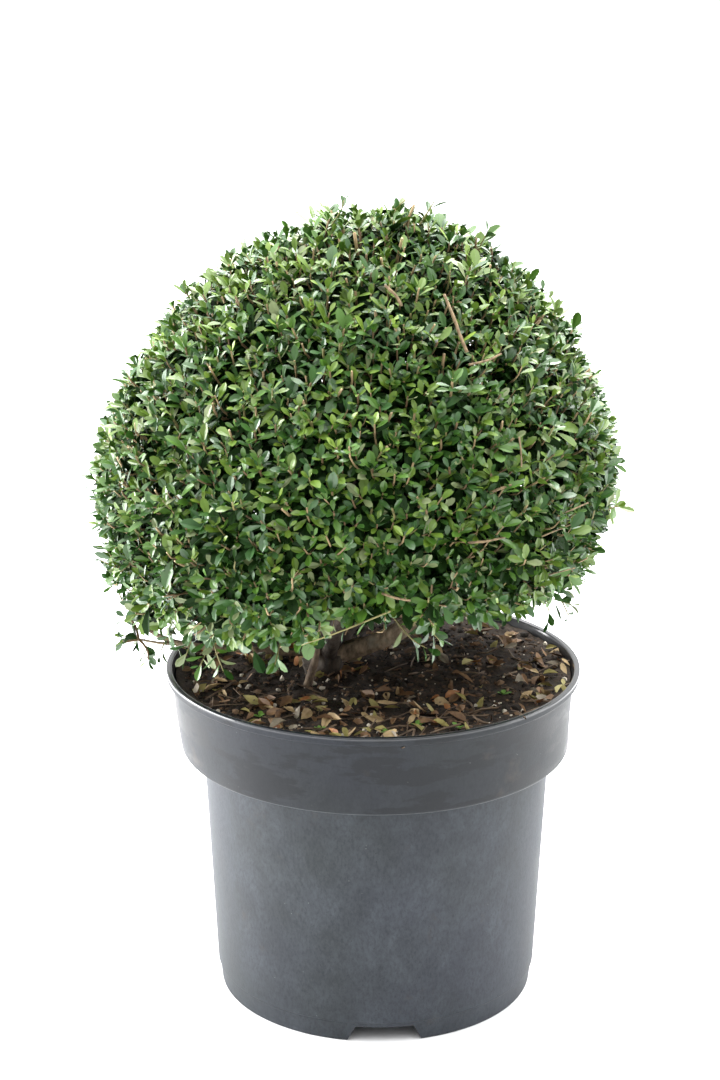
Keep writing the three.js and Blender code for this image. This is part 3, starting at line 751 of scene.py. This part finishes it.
def make_twiglets():
    """Short bits of dead twig, bent a little."""
    rng = np.random.default_rng(34)
    count = 90
    spots = spots_on_soil(rng, count, lean=0.5)
    turn = rng.uniform(0, 2 * math.pi, count)
    half = rng.uniform(4, 15, count)[:, None] * MM
    along = np.stack((np.cos(turn), np.sin(turn), rng.normal(0, 0.16, count)), -1) * half
    middle = spots + (0, 0, 2.2 * MM)
    bow = rng.normal(0, 1.2 * MM, (count, 3))
    paths = np.stack((middle - along, middle + bow, middle + along), axis=1)
    radii = rng.uniform(0.35, 0.85, count)[:, None] * MM * np.array((1, 0.95, 0.7))
    points, faces, _, _ = tubes(paths, radii, 5)
    bark = litter_material("twiglet_bark", (0.055, 0.033, 0.020), (0.20, 0.135, 0.08))
    mesh_piece("soil_twiglets", points, faces, [bark])


# Where the seedlings stand, in millimetres
SEEDLINGS = ((-36, -101), (6, -109), (26, -94), (52, -100), (-75, -78), (83, -38))


def make_seedlings():
    """A few weed seedlings: small leaves round one point, low on the soil."""
    rng = np.random.default_rng(35)
    roots, along = [], []
    for x, y in np.array(SEEDLINGS) * MM:
        base = np.array((x, y, soil_height(np.array([x]), np.array([y]))[0] + 1.5 * MM))
        for angle in angles_round(5):
            turn = rng.uniform(0, 0.5) + angle
            roots.append(base)
            along.append((math.cos(turn), math.sin(turn), rng.uniform(0.3, 0.9)))
    count = len(roots)
    up = unit(np.array((0, 0, 1.0)) + rng.normal(0, 0.1, (count, 3)))
    length = rng.uniform(3.5, 6.5, count) * MM
    shape = dict(width=np.full(count, 0.62), fold=np.full(count, 0.2), curl=np.full(count, 0.12))
    points, faces = leaf_blades(np.array(roots), unit(np.array(along)), up, length, **shape)
    green = plain_material("seedling_green", (0.13, 0.27, 0.045), 0.5)
    mesh_piece("soil_seedlings", points, faces, [green])


# Trunk and boughs


def bark_limb(points, radius_at, sides, rings, seed, relief=0.09):
    """A limb with furrowed bark, knots and closed ends, as points and faces. radius_at takes 0 to 1."""
    path = smooth_path(points, rings)
    tangent = unit(np.gradient(path, axis=0))
    side, _ = square_to(unit(path[-1] - path[0])[None])
    side = unit(side - tangent * np.sum(side * tangent, axis=1, keepdims=True))
    turn = angles_round(sides)
    ring = turned_from(side[:, None], np.cross(tangent, side)[:, None], turn)
    radius = radius_at(np.linspace(0, 1, rings))
    # Furrows run along the limb, so the noise is stretched that way.
    arc = np.concatenate(([0], np.cumsum(np.linalg.norm(np.diff(path, axis=0), axis=1))))
    width = radius.mean()
    around = (np.cos(turn)[None] * width, np.sin(turn)[None] * width, arc[:, None] * 0.3)
    where = np.stack(np.broadcast_arrays(*around), -1)
    furrow = layered_noise(where.reshape(-1, 3), width * 0.45, 3, seed).reshape(rings, sides)
    knot = lattice_noise((where * (1, 1, 3)).reshape(-1, 3), width * 2.2, seed + 9).reshape(rings, sides)
    reach = radius[:, None] * (1 + relief * furrow + 0.12 * knot)
    surface = path[:, None] + ring * reach[..., None]
    index = np.arange(rings * sides).reshape(rings, sides)
    first, last, tip = index[0], index[-1], index.size
    end = np.stack((last, np.roll(last, -1), np.full(sides, tip)), -1)
    foot = np.stack((np.roll(first, -1), first, np.full(sides, tip + 1)), -1)
    all_points = np.vstack((surface.reshape(-1, 3), path[-1:], path[:1]))
    return all_points, np.vstack((ring_walls(index).reshape(-1, 3), end, foot))


def tapering(start, end):
    return lambda t: start + (end - start) * t


def trunk_radius(t):
    flare = FLARE * np.maximum(0.0, 1 - t / 0.5) ** 2
    return TRUNK_RADIUS + (FORK_RADIUS - TRUNK_RADIUS) * t + flare


def make_limb(name, body, bark, path, radius_at, *mesh):
    """A piece of wood that replaces a body's solid. mesh is its sides, rings, seed and relief."""
    points, faces = bark_limb(path, radius_at, *mesh)
    limb = mesh_piece(name, points, faces, [bark])
    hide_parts(body)


def make_wood():
    names = ("trunk", "bough", "stem", "branch")
    trunk, bough, stem, branch = (bark_material(f"bark_{name}", *BARKS[name]) for name in names)
    path = (TRUNK_FOOT, TRUNK_MIDDLE, TRUNK_FORK)
    make_limb("trunk_bark", "trunk", trunk, path, trunk_radius, 40, 26, 51, 0.12)
    for i, (name, (bend, tip, *ends)) in enumerate(BOUGHS.items()):
        # The right bough wears the paler bark as painted light; the other boughs wear the trunk's darker
        # bark, as painted shade.
        bark = bough if name == "right" else trunk
        path = (FORK_START, bend, tip)
        make_limb(f"bough_{name}_bark", f"bough_{name}", bark, path, tapering(*ends), 22, 60, 60 + i)
    thin, low, level = (tapering(a * MM, b * MM) for a, b in ((2.9, 2.1), (2.6, 1.2), (1.2, 0.8)))
    make_limb("stem_front_thin_bark", "stem_front_thin", stem, THIN_STEM, thin, 12, 50, 71)
    make_limb("branch_low_left_bark", "branch_low_left", branch, LOW_BRANCH, low, 12, 100, 72)
    make_limb("level_twig_bark", "branch_low_left", branch, LEVEL_TWIG, level, 10, 30, 73)


# Leaves

# A leaf is widest past its middle and blunt. Each half is a strip from the base to the tip, so the
# midrib stays a crease: (share of the length, share of the half width).
LEAF_ROWS = ((0.0, 0.0), (0.27, 0.55), (0.60, 1.0), (0.87, 0.68), (1.0, 0.0))


def leaf_pattern():
    """Each point's share of the length and of the half width, signed, and the faces between them."""
    points, faces = [], []
    tip = 2 * len(LEAF_ROWS) - 3
    for sign in (1, -1):
        start = len(points)
        points.append((0.0, 0.0))
        for along, across in LEAF_ROWS[1:-1]:
            points += [(along, 0.0), (along, sign * across)]
        points.append((1.0, 0.0))
        strip = [(0, 1, 2)]
        for i in range(1, tip - 2, 2):
            strip += [(i, i + 2, i + 3), (i, i + 3, i + 1)]
        strip.append((tip - 2, tip, tip - 1))
        faces += [tuple(start + v for v in (f if sign < 0 else f[::-1])) for f in strip]
    return np.array(points), np.array(faces)


LEAF_POINTS, LEAF_FACES = leaf_pattern()


def leaf_blades(roots, along, up, length, width, fold, curl):
    """One blade at each root. fold lifts the edges and curl bends the tip down."""
    side = unit(np.cross(up, along))
    up = np.cross(along, side)
    share, across = LEAF_POINTS.T
    x = length[:, None] * share
    y = (length * width / 2)[:, None] * across
    z = fold[:, None] * np.abs(y) - curl[:, None] * length[:, None] * share**2
    points = roots[:, None] + x[..., None] * along[:, None] + y[..., None] * side[:, None]
    points = points + z[..., None] * up[:, None]
    faces = LEAF_FACES[None] + len(LEAF_POINTS) * np.arange(len(roots))[:, None, None]
    return points.reshape(-1, 3), faces.reshape(-1, 3)


# Crown


def surface_reach(direction):
    """How far the clipped surface is from the ball's centre, along each direction."""
    flat = np.hypot(direction[:, 0] - LEAN * direction[:, 2], direction[:, 1]) / RADIUS
    tall = np.abs(direction[:, 2]) / HALF_HEIGHT
    power = np.where(direction[:, 2] > 0, POWER, 2.0)
    ball = (flat**power + tall**power) ** (-1 / power)
    fall = direction[:, :2] @ SLOPE - direction[:, 2]
    under = np.where(fall > 1e-6, (CENTRE[2] - UNDERSIDE) / np.maximum(fall, 1e-6), np.inf)
    return np.minimum(ball, under)


def mass_of(directions):
    """The name of the mass that each direction from the centre belongs to."""
    angles = np.radians(list(SECTORS.values()))
    azimuth = np.arctan2(directions[:, 1], directions[:, 0])
    apart = np.abs((azimuth[:, None] - angles + math.pi) % (2 * math.pi) - math.pi)
    sector = np.argmin(apart, axis=1)
    off = np.cos(np.min(apart, axis=1))
    outward = np.hypot(directions[:, 0], directions[:, 1]) * off * math.cos(CAP_ANGLE)
    is_top = outward < directions[:, 2] * math.sin(CAP_ANGLE)
    return np.where(is_top, "top", np.array(list(SECTORS))[sector])


def bough_gap(points):
    """0 to 1: how far each point is in the gap under the crown that shows the right bough."""
    top, middle, half_width, front, edge, depth = 0.306, -0.006, 0.036, -0.02, 0.012, 0.03
    x, y, z = points.T
    low = np.clip((top - z) / edge, 0, 1)
    across = np.clip((half_width - np.abs(x - middle)) / edge, 0, 1)
    return low * across * np.clip((front - y) / depth, 0, 1)


def openness(points):
    """0 to 1: the crown is open low on the left, where the sky shows, and before the right bough."""
    top, height, side, width, most = 0.318, 0.04, -0.095, 0.035, 0.5
    x, _, z = points.T
    left = np.clip((top - z) / height, 0, 1) * np.clip((side - x) / width, 0, 1)
    return np.maximum(left * most, bough_gap(points))


def shoot_tips(rng):
    """Points spread over the clipped surface by a golden-angle spiral, with their directions."""
    i = np.arange(SHOOTS)
    z = 1 - 2 * (i + 0.5) / SHOOTS
    r = np.sqrt(1 - z * z)
    direction = np.stack((r * np.cos(i * GOLDEN_ANGLE), r * np.sin(i * GOLDEN_ANGLE), z), -1)
    direction = unit(direction + rng.normal(0, 0.020, (SHOOTS, 3)))
    reach = surface_reach(direction)
    share_kept = (reach / RADIUS) ** 2 * (1.1 - openness(CENTRE + direction * reach[:, None]))
    keep = rng.random(SHOOTS) < share_kept
    direction, reach = direction[keep], reach[keep]
    count, stray_share = len(reach), 0.035
    hills = 2.5 * MM * lattice_noise(direction, 0.34, 81)
    clumps = 3.0 * MM * lattice_noise(direction, 0.10, 82)
    uneven = rng.normal(0, 2.8 * MM, count)
    stray = np.where(rng.random(count) < stray_share, rng.uniform(4, 12, count) * MM, 0)
    below = np.clip(-direction[:, 2], 0, 1)
    # The leaves reach past their shoot, so it ends inside the surface, and more so underneath.
    depth = reach - (8.0 + 6.0 * below) * MM + hills + clumps + uneven + stray * (1 - below)
    return direction, CENTRE + direction * depth[:, None]


def nearest(points, targets):
    """For each point, the index of its nearest target."""
    apart = np.linalg.norm(points[:, None] - targets[None], axis=-1)
    return np.argmin(apart, axis=1)


def bent(start, end, rng, sway, count):
    """Paths from start to end that sway a little on the way, as (n, count, 3)."""
    t = np.linspace(0, 1, count)[None, :, None]
    span = np.linalg.norm(end - start, axis=1)
    push = rng.normal(0, sway, (len(start), 3)) * span[:, None]
    return start[:, None] * (1 - t) + end[:, None] * t + push[:, None] * (4 * t * (1 - t))


def shoot_paths(start, tips, direction, rng, count=6):
    """A shoot leaves its sub-lateral and turns outward and up towards its tip."""
    outward, low, low_rise, rise, sway, bend = 0.62, -0.25, 0.2, 0.85, 0.24, 22 * MM
    lift = np.where(direction[:, 2:] < low, low_rise, rise) * np.array((0, 0, 1))
    heading = unit(direction * outward + lift + rng.normal(0, sway, direction.shape))
    span = np.linalg.norm(tips - start, axis=1, keepdims=True)
    control = tips - heading * np.minimum(span * 0.6, bend)
    t = np.linspace(0, 1, count)[None, :, None]
    return start[:, None] * (1 - t) ** 2 + control[:, None] * 2 * t * (1 - t) + tips[:, None] * t**2


def sample_paths(paths, from_tip):
    """Points and tangents on each path at distances back from its tip, given as (n, k)."""
    steps = np.linalg.norm(np.diff(paths, axis=1), axis=2)
    arc = np.concatenate((np.zeros((len(paths), 1)), np.cumsum(steps, axis=1)), axis=1)
    at = np.clip(arc[:, -1:] - from_tip, 0.02 * arc[:, -1:], None)
    i = np.clip(np.sum(arc[:, None] <= at[..., None], axis=-1) - 1, 0, paths.shape[1] - 2)
    row = np.arange(len(paths))[:, None]
    share = (at - arc[row, i]) / (arc[row, i + 1] - arc[row, i])
    ahead = paths[row, i + 1] - paths[row, i]
    return paths[row, i] + ahead * share[..., None], unit(ahead)


def shoot_leaves(paths, outward, rng, keep, length=LEAF_LENGTH, spacing=1.1 * MM):
    """Leaves in a spiral up each shoot, close together at its tip, turned a little to the light.

    keep is (n, leaves to a shoot), and length is for every shoot or one for each.
    """
    n, per_shoot = keep.shape
    k = np.arange(per_shoot)
    from_tip = 0.4 * MM + spacing * (k + 0.05 * k**2) + rng.uniform(-0.4, 0.4, (n, per_shoot)) * MM
    nodes, tangent = sample_paths(paths, np.maximum(from_tip, 0))
    side, other = square_to(tangent)
    turn = rng.uniform(0, 2 * math.pi, (n, 1)) + k * GOLDEN_ANGLE + rng.normal(0, 0.25, (n, per_shoot))
    out = turned_from(side, other, turn)
    # The leaf at the tip stands steepest, and they open over the next five.
    lean = np.radians(30 + 38 * np.minimum(k / 5, 1) + rng.normal(0, 10, (n, per_shoot)))
    along = turned_from(tangent, out, lean)
    face = turned_from(-out, tangent, lean)
    light = np.array((0, 0, 0.42)) + outward[:, None] * 0.22
    face = unit(face + light + rng.normal(0, 0.2, face.shape))
    size = np.reshape(length, (-1, 1)) * rng.lognormal(0, 0.15, (n, 1))
    size = size * rng.lognormal(0, 0.13, (n, per_shoot))
    # Leaves are small at the tip and larger on the older wood.
    size *= np.where(k == 0, 0.6, np.where(k == 1, 0.82, np.where(k > 9, 1.3, 1.0)))
    size = np.clip(size, 5.5 * MM, 20 * MM)[keep]
    count = len(size)
    shape = dict(
        width=rng.normal(LEAF_WIDTH, 0.045, count),
        fold=rng.uniform(0.05, 0.5, count),
        curl=rng.normal(0.08, 0.09, count),
    )
    roots = nodes + along * 0.7 * MM
    return leaf_blades(roots[keep], along[keep], face[keep], size, **shape)


def spray_colours(rng, height, keep):
    """Each leaf's material: mostly its spray's own, often young at the tip of a high shoot, partly as
    painted light, and nearly black far back from the tip, as painted shade.
    """
    n, per_shoot = keep.shape
    height = np.clip(height, 0, 1)
    weights = np.array([row[-1] for row in LEAF_COLOURS])
    spray = rng.choice(len(weights), n, p=weights / weights.sum())
    # High on the crown, sprays are more often warm and tips more often young: partly new growth, partly
    # painted light that brightens the top.
    spray[rng.random(n) < 0.5 * height] = WARM
    own = rng.random((n, per_shoot)) < OWN_SHARE
    shades = np.where(own, spray[:, None], rng.choice(YOUNG, (n, per_shoot)))
    young = rng.random(n) < 0.05 + 0.24 * height**2
    shades[young, :2] = YOUNG
    shades[rng.random((n, per_shoot)) < BACK_SHARE] = BACK
    # Past the outer leaves, a leaf is more and more often nearly black: painted shade inside the crown.
    deep = (np.arange(per_shoot) - OUTER_LEAVES) / OUTER_LEAVES
    shades[rng.random((n, per_shoot)) < deep] = PAINTED_SHADE
    return np.repeat(shades[keep], len(LEAF_FACES))


def limb_colours(path_of, is_end, colours, cut):
    """Each face's material: its twig's colour, and pale wood on the end of a cut twig."""
    return np.where(is_end & cut[path_of], TWIG_CUT, colours[path_of])


def fanned_limbs(name, tips, rng):
    """The limbs inside a mass: a stem goes on from its bough, laterals and sub-laterals fan out."""
    bend, tip, _, end_radius = BOUGHS[name]
    foot = np.array(tip)
    towards = unit(foot - np.array(bend))
    heart = foot + (tips.mean(axis=0) - foot) * STEM_REACH
    stem = smooth_path((foot - towards * 2 * MM, foot + towards * STEM_RISE, heart), 12)
    fans = tips[:: max(1, len(tips) // LATERALS)]
    starts = stem[rng.integers(5, 12, len(fans))]
    laterals = bent(starts, starts + (fans - starts) * LATERAL_REACH, rng, 0.07, 6)
    subs = tips[1 :: max(1, len(tips) // SUB_LATERALS)]
    ends = laterals[:, -1]
    sub_laterals = bent(ends[nearest(subs, ends)], CENTRE + (subs - CENTRE) * SUB_REACH, rng, 0.09, 5)
    tapers = (
        (stem[None], end_radius, LATERAL_RADIUS, 8),
        (laterals, LATERAL_RADIUS, SUB_RADIUS, 5),
        (sub_laterals, SUB_RADIUS, SUB_TIP_RADIUS, 4),
    )
    parts = []
    for paths, thick, thin, sides in tapers:
        radii = np.broadcast_to(np.linspace(thick, thin, paths.shape[1]), paths.shape[:2])
        points, faces, _, _ = tubes(paths, radii, sides)
        parts.append((points, faces, np.full(len(faces), TWIG_BROWN)))
    return parts, sub_laterals[:, -1]


def grow_mass(name, direction, tips, rng, leaves, twigs):
    """One mass: its inner limbs, a shoot to each of its points on the clipped surface, and leaves."""
    parts, sub_ends = fanned_limbs(name, tips, rng)
    count = len(tips)
    bare = rng.random(count) < BARE_SHARE
    tips = tips + direction * np.where(bare, 2.5 * MM, 0)[:, None]
    shoots = shoot_paths(sub_ends[nearest(tips, sub_ends)], tips, direction, rng)
    thick = np.where(bare, rng.uniform(0.85, 1.2, count), rng.uniform(0.55, 0.85, count)) * MM
    points, faces, path_of, is_end = tubes(shoots, thick[:, None] * np.linspace(1.25, 0.85, 6), 4)
    colours = rng.choice((TWIG_BROWN, TWIG_TAN, TWIG_GREEN), count, p=(0.35, 0.42, 0.23))
    colours = np.where(bare, TWIG_TAN, colours)
    parts.append((points, faces, limb_colours(path_of, is_end, colours, bare)))
    points, faces, slots = joined(parts)
    piece = mesh_piece(f"twigs_{name}", points, faces, twigs, slots)
    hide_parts(f"foliage_{name}")

    few_anywhere, few_in_open, gap_edge = 0.06, 1.6, 0.3
    low_start, low_depth = 0.30, 0.04
    few = rng.random(count) < few_anywhere + few_in_open * openness(tips)
    k = np.arange(LEAVES_PER_SHOOT)
    keep = k < np.where(few, FEWER_LEAVES, LEAVES_PER_SHOOT)[:, None]
    keep &= ~(bare[:, None] & (k < BARE_NODES))
    keep &= bough_gap(tips)[:, None] < gap_edge
    low = np.clip((low_start - tips[:, 2]) / low_depth, 0, 1)
    points, faces = shoot_leaves(shoots, direction, rng, keep, LEAF_LENGTH * (1 + LOW_LEAF_GAIN * low))
    height = (tips[:, 2] - CENTRE[2]) / HALF_HEIGHT
    piece = mesh_piece(f"leaves_{name}", points, faces, leaves, spray_colours(rng, height, keep))
    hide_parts(f"foliage_{name}")


def make_crown(leaves, twigs):
    rng = np.random.default_rng(7)
    direction, tips = shoot_tips(rng)
    masses = mass_of(direction)
    for name in BOUGHS:
        mine = masses == name
        grow_mass(name, direction[mine], tips[mine], rng, leaves, twigs)


# Loose twigs that the shears missed, by mass: path, number of leaves and their length. These sizes
# and those of the bared twigs are in millimetres.
LOOSE_TWIGS = {
    "left": (
        (((-138, -23, 250), (-142, -26, 244), (-142.6, -26, 239)), 3, 11),
        (((-136, -23, 249), (-133, -28, 248), (-125, -30, 245)), 3, 15),
        (((-104, -70, 272), (-101.6, -85, 264.6), (-97.5, -85, 250)), 9, 12),
        (((-100, -85, 288), (-94, -95, 280), (-85.8, -95, 273.6)), 8, 12),
        (((-118, -45, 270), (-120, -55, 260), (-123, -62, 253)), 9, 12),
        (((-110, -60, 268), (-109, -70, 260), (-112, -80, 252)), 8, 12),
        (((-126, -30, 268), (-133, -36, 260), (-137, -40, 254)), 7, 11),
        (((-85, -50, 272), (-81.4, -60, 262.5), (-76.4, -60, 250.3)), 8, 11),
        (((-150, -30, 285), (-165, -30, 291), (-177, -30, 294)), 8, 9),
        (((-155, -20, 292), (-170, -20, 297.5), (-180.5, -20, 303)), 8, 9),
        (((-152, -45, 280), (-157, -48, 288), (-162, -50, 296)), 8, 10),
        (((-148, -30, 272), (-156, -32, 276), (-160, -34, 283)), 7, 9),
        (((-168, -8, 272), (-173.5, -8, 282.1), (-179.1, -8, 294.6)), 3, 8),
    ),
    "front": (
        (((-60, -80, 280), (-62, -100, 272), (-64, -112, 266)), 9, 12),
        (((4, -95, 300), (21.2, -110, 283.3), (31, -110, 274)), 8, 12),
        (((8, -155, 316), (-22, -160, 303), (-46.2, -157, 294)), 15, 6),
        (((22, -95, 302), (32, -108, 289), (39.2, -110, 281.5)), 9, 12),
        (((50, -90, 304), (65, -100, 295), (71.7, -100, 290)), 8, 12),
    ),
    "right": (
        (((70, -80, 306), (82, -90, 299), (89.7, -90, 293.5)), 8, 12),
        (((88, -16, 283), (108, -20, 279), (128.5, -20, 274.2)), 5, 11),
        (((106, -28, 282), (111, -30, 274), (113, -30, 267.2)), 3, 13),
        (((120, -18, 277), (124, -20, 270), (124.8, -20, 265)), 2, 13),
    ),
    "top": (
        (((-30, 0, 520), (-25, 0, 530), (-21.5, 0, 536.5)), 6, 9),
        (((1, 0, 519), (9.5, 0, 529), (16.5, 0, 537)), 5, 8),
        (((27, 0, 521), (32.5, 0, 531), (36, 0, 537)), 6, 9),
        (((62, 0, 500), (65.5, 0, 509), (68.5, 0, 515)), 6, 9),
    ),
}

# Old wood that the shears bared on the crown's face: its path and its radius.
BARED_TWIGS = (
    (((53.5, -105, 462.5), (49.2, -100.5, 472), (46.2, -95.5, 480), (40, -85, 493.5)), 1.15),
    (((14.2, -93, 488), (10.8, -90, 493.5), (4, -87, 499.5)), 1.0),
    (((54.5, -111, 456), (66, -107, 458), (74.5, -100.5, 460.5)), 0.7),
    (((-60, -146, 325), (-52, -153.5, 333), (-43, -157.5, 342)), 0.8),
    (((-99, -110, 332), (-108, -108, 338), (-116, -104, 349)), 0.8),
    (((54, -150, 356.5), (66, -151, 358), (76.5, -146, 359)), 0.75),
    (((67, -140, 384.5), (74, -139.5, 387.5), (80, -137.5, 389)), 0.85),
    (((100, -119, 351), (108, -116, 353.5), (118, -108, 355)), 0.5),
    (((115, -105, 362), (123, -100, 364), (130, -93, 365)), 0.5),
    (((3, -159, 327.5), (11, -163, 326), (20, -162, 324)), 0.75),
    (((98, -105, 320), (109, -101, 321.5), (123, -94, 323)), 0.5),
    (((85, -121, 414), (86, -126, 406), (86.3, -130, 398)), 0.6),
)


def loose_twig(points, count, leaf_length, rng):
    """One thin twig with leaves along its outer half: its wood and its leaves, with materials."""
    path = smooth_path(np.array(points) * MM + rng.normal(0, 0.6 * MM, (len(points), 3)), 8)[None]
    radii = np.linspace(0.65, 0.35, 8)[None] * MM
    keep = np.ones((1, count), dtype=bool)
    outward = unit(path[:, -1] - path[:, 0])
    blades = shoot_leaves(path, outward, rng, keep, length=leaf_length * MM, spacing=2.5 * MM)
    # These leaves take only the deeper greens and undersides, never warm or young: painted shade.
    shades = rng.choice((DEEP, BLUE, MID, BACK), count, p=(0.4, 0.3, 0.2, 0.1))
    points, faces, path_of, _ = tubes(path, radii, 5)
    wood = (points, faces, np.full(len(path_of), TWIG_GREEN))
    return wood, (*blades, np.repeat(shades, len(LEAF_FACES)))


def make_loose_twigs(leaves, twigs):
    rng = np.random.default_rng(12)
    for name, rows in LOOSE_TWIGS.items():
        wood, blades = zip(*[loose_twig(*row, rng) for row in rows])
        points, faces, slots = joined(wood)
        piece = mesh_piece(f"loose_twigs_{name}", points, faces, twigs, slots)
        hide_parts(f"foliage_{name}")
        points, faces, slots = joined(blades)
        piece = mesh_piece(f"loose_leaves_{name}", points, faces, leaves, slots)
        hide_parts(f"foliage_{name}")


def make_bared_twigs(cut_wood):
    sides, rings, seed, relief = 10, 30, 90, 0.22
    bark = bark_material("bark_bared", *BARKS["bared"])
    parts = []
    for i, (path, radius) in enumerate(BARED_TWIGS):
        radius_at = tapering(radius * MM, radius * 0.8 * MM)
        points, faces = bark_limb(np.array(path) * MM, radius_at, sides, rings, seed + i, relief)
        is_end = np.arange(len(faces)) >= len(faces) - 2 * sides
        parts.append((points, faces, is_end.astype(int)))
    points, faces, slots = joined(parts)
    piece = mesh_piece("bared_twigs", points, faces, [bark, cut_wood], slots)
    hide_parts("foliage_front", "foliage_top", "foliage_left", "foliage_right")


def make_sprig(leaves, twigs):
    """Small leaves on thin twigs at the end of the level twig."""
    rng = np.random.default_rng(8)
    start = np.array(LEVEL_TWIG[-1])
    ways = np.array([(-0.75, -0.5, 0.1), (-0.3, 0.2, 0.45), (-0.9, 0.35, 0.05), (0.3, -0.2, -0.6)])
    count, per_twig = len(ways), 7
    ends = start + unit(ways) * rng.uniform(9, 17, (count, 1)) * MM
    paths = bent(np.repeat(start[None], count, 0), ends, rng, 0.1, 6)
    radii = np.linspace(1.1, 0.5, 6)[None] * MM * np.ones((count, 1))
    points, faces, path_of, _ = tubes(paths, radii, 5)
    slots = np.full(len(path_of), TWIG_BROWN)
    piece = mesh_piece("sprig_twigs", points, faces, twigs, slots)
    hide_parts("sprig_low_left")
    keep = np.ones((count, per_twig), dtype=bool)
    points, faces = shoot_leaves(paths, unit(ways), rng, keep, length=9.5 * MM, spacing=2.2 * MM)
    piece = mesh_piece("sprig_leaves", points, faces, leaves, spray_colours(rng, np.zeros(count), keep))
    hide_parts("sprig_low_left")


# Stage, light and camera

# Lights: name, place, the point that it is turned to, size and watts.
LIGHTS = (
    ("overhead", (0.1, 0.9, 2.0), (0, 0, 0.35), (1.8, 1.6), 122),
    ("left", (-2.2, 0.35, 0.45), (0, 0, 0.35), (1.8, 1.4), 160),
    ("right", (2.3, 0.0, 0.4), (0, 0, 0.2), (1.2, 1.6), 26),
)

# The photograph's view: from 1.576 m in front and 0.8 m up, looking a little down.
CAMERA_PLACE = (0, -1.576, 0.801)
CAMERA_PITCH = math.radians(17.258)
CAMERA_YAW = math.radians(-0.411)
CAMERA_ROLL = math.radians(0.095)
LENS = 83.5
SENSOR_WIDTH = 36


def make_stage():
    half = 4.0
    mesh = bpy.data.meshes.new("floor")
    corners = [(-half, -half, 0), (half, -half, 0), (half, half, 0), (-half, half, 0)]
    mesh.from_pydata(corners, [], [(0, 1, 2, 3)])
    mesh.materials.append(plain_material("floor_white", (0.90, 0.905, 0.91), 0.6))
    added("floor", mesh)


def area_light(name, place, aim, size, power):
    light = bpy.data.lights.new(name, "AREA")
    light.shape = "RECTANGLE"
    light.size, light.size_y = size
    light.energy = power
    lamp = added(name, light)
    lamp.location = place
    lamp.rotation_euler = (Vector(aim) - Vector(place)).to_track_quat("-Z", "Y").to_euler()


def make_world():
    """A white room: brightest overhead, and darker on the camera's side."""
    world = bpy.data.worlds.new("studio")
    n = Tree(world)
    split = n.new("SeparateXYZ", {"Vector": n.new("TexCoord").outputs["Generated"]})
    walls = n.spread(split.outputs["Y"], (-1.0, 0.3), (0.38, 1.3), "SMOOTHSTEP")
    ceiling = n.spread(split.outputs["Z"], (0.3, 1.0), (0.0, 3.0), "SMOOTHSTEP")
    background = n.tree.nodes["Background"]
    n.feed((1.0, 1.0, 1.0), background.inputs["Color"])
    n.feed(n.maths("ADD", walls, ceiling, clamp=False), background.inputs["Strength"])
    bpy.context.scene.world = world


def set_tone():
    """Plain display tones: the photograph's whites are bright and its shadows deep."""
    bpy.context.scene.view_settings.view_transform = "Standard"


def make_camera():
    data = bpy.data.cameras.new("camera")
    data.lens = LENS
    data.sensor_width = SENSOR_WIDTH
    camera = added("camera", data)
    turn = Matrix.Rotation(-CAMERA_YAW, 4, "Z") @ Matrix.Rotation(math.pi / 2 - CAMERA_PITCH, 4, "X")
    camera.matrix_world = Matrix.Translation(CAMERA_PLACE) @ turn @ Matrix.Rotation(CAMERA_ROLL, 4, "Z")
    bpy.context.scene.camera = camera


set_tone()
make_camera()
make_stage()
make_world()
for row in LIGHTS:
    area_light(*row)
make_pot()
make_soil()
make_crumbs()
make_perlite()
make_litter()
make_twiglets()
make_seedlings()
make_wood()
leaf_palette = [plain_material(*row[:4], coat=row[3]) for row in LEAF_COLOURS]
twig_palette = [plain_material(*row) for row in TWIG_COLOURS]
make_crown(leaf_palette, twig_palette)
make_loose_twigs(leaf_palette, twig_palette)
make_bared_twigs(twig_palette[TWIG_CUT])
make_sprig(leaf_palette, twig_palette)
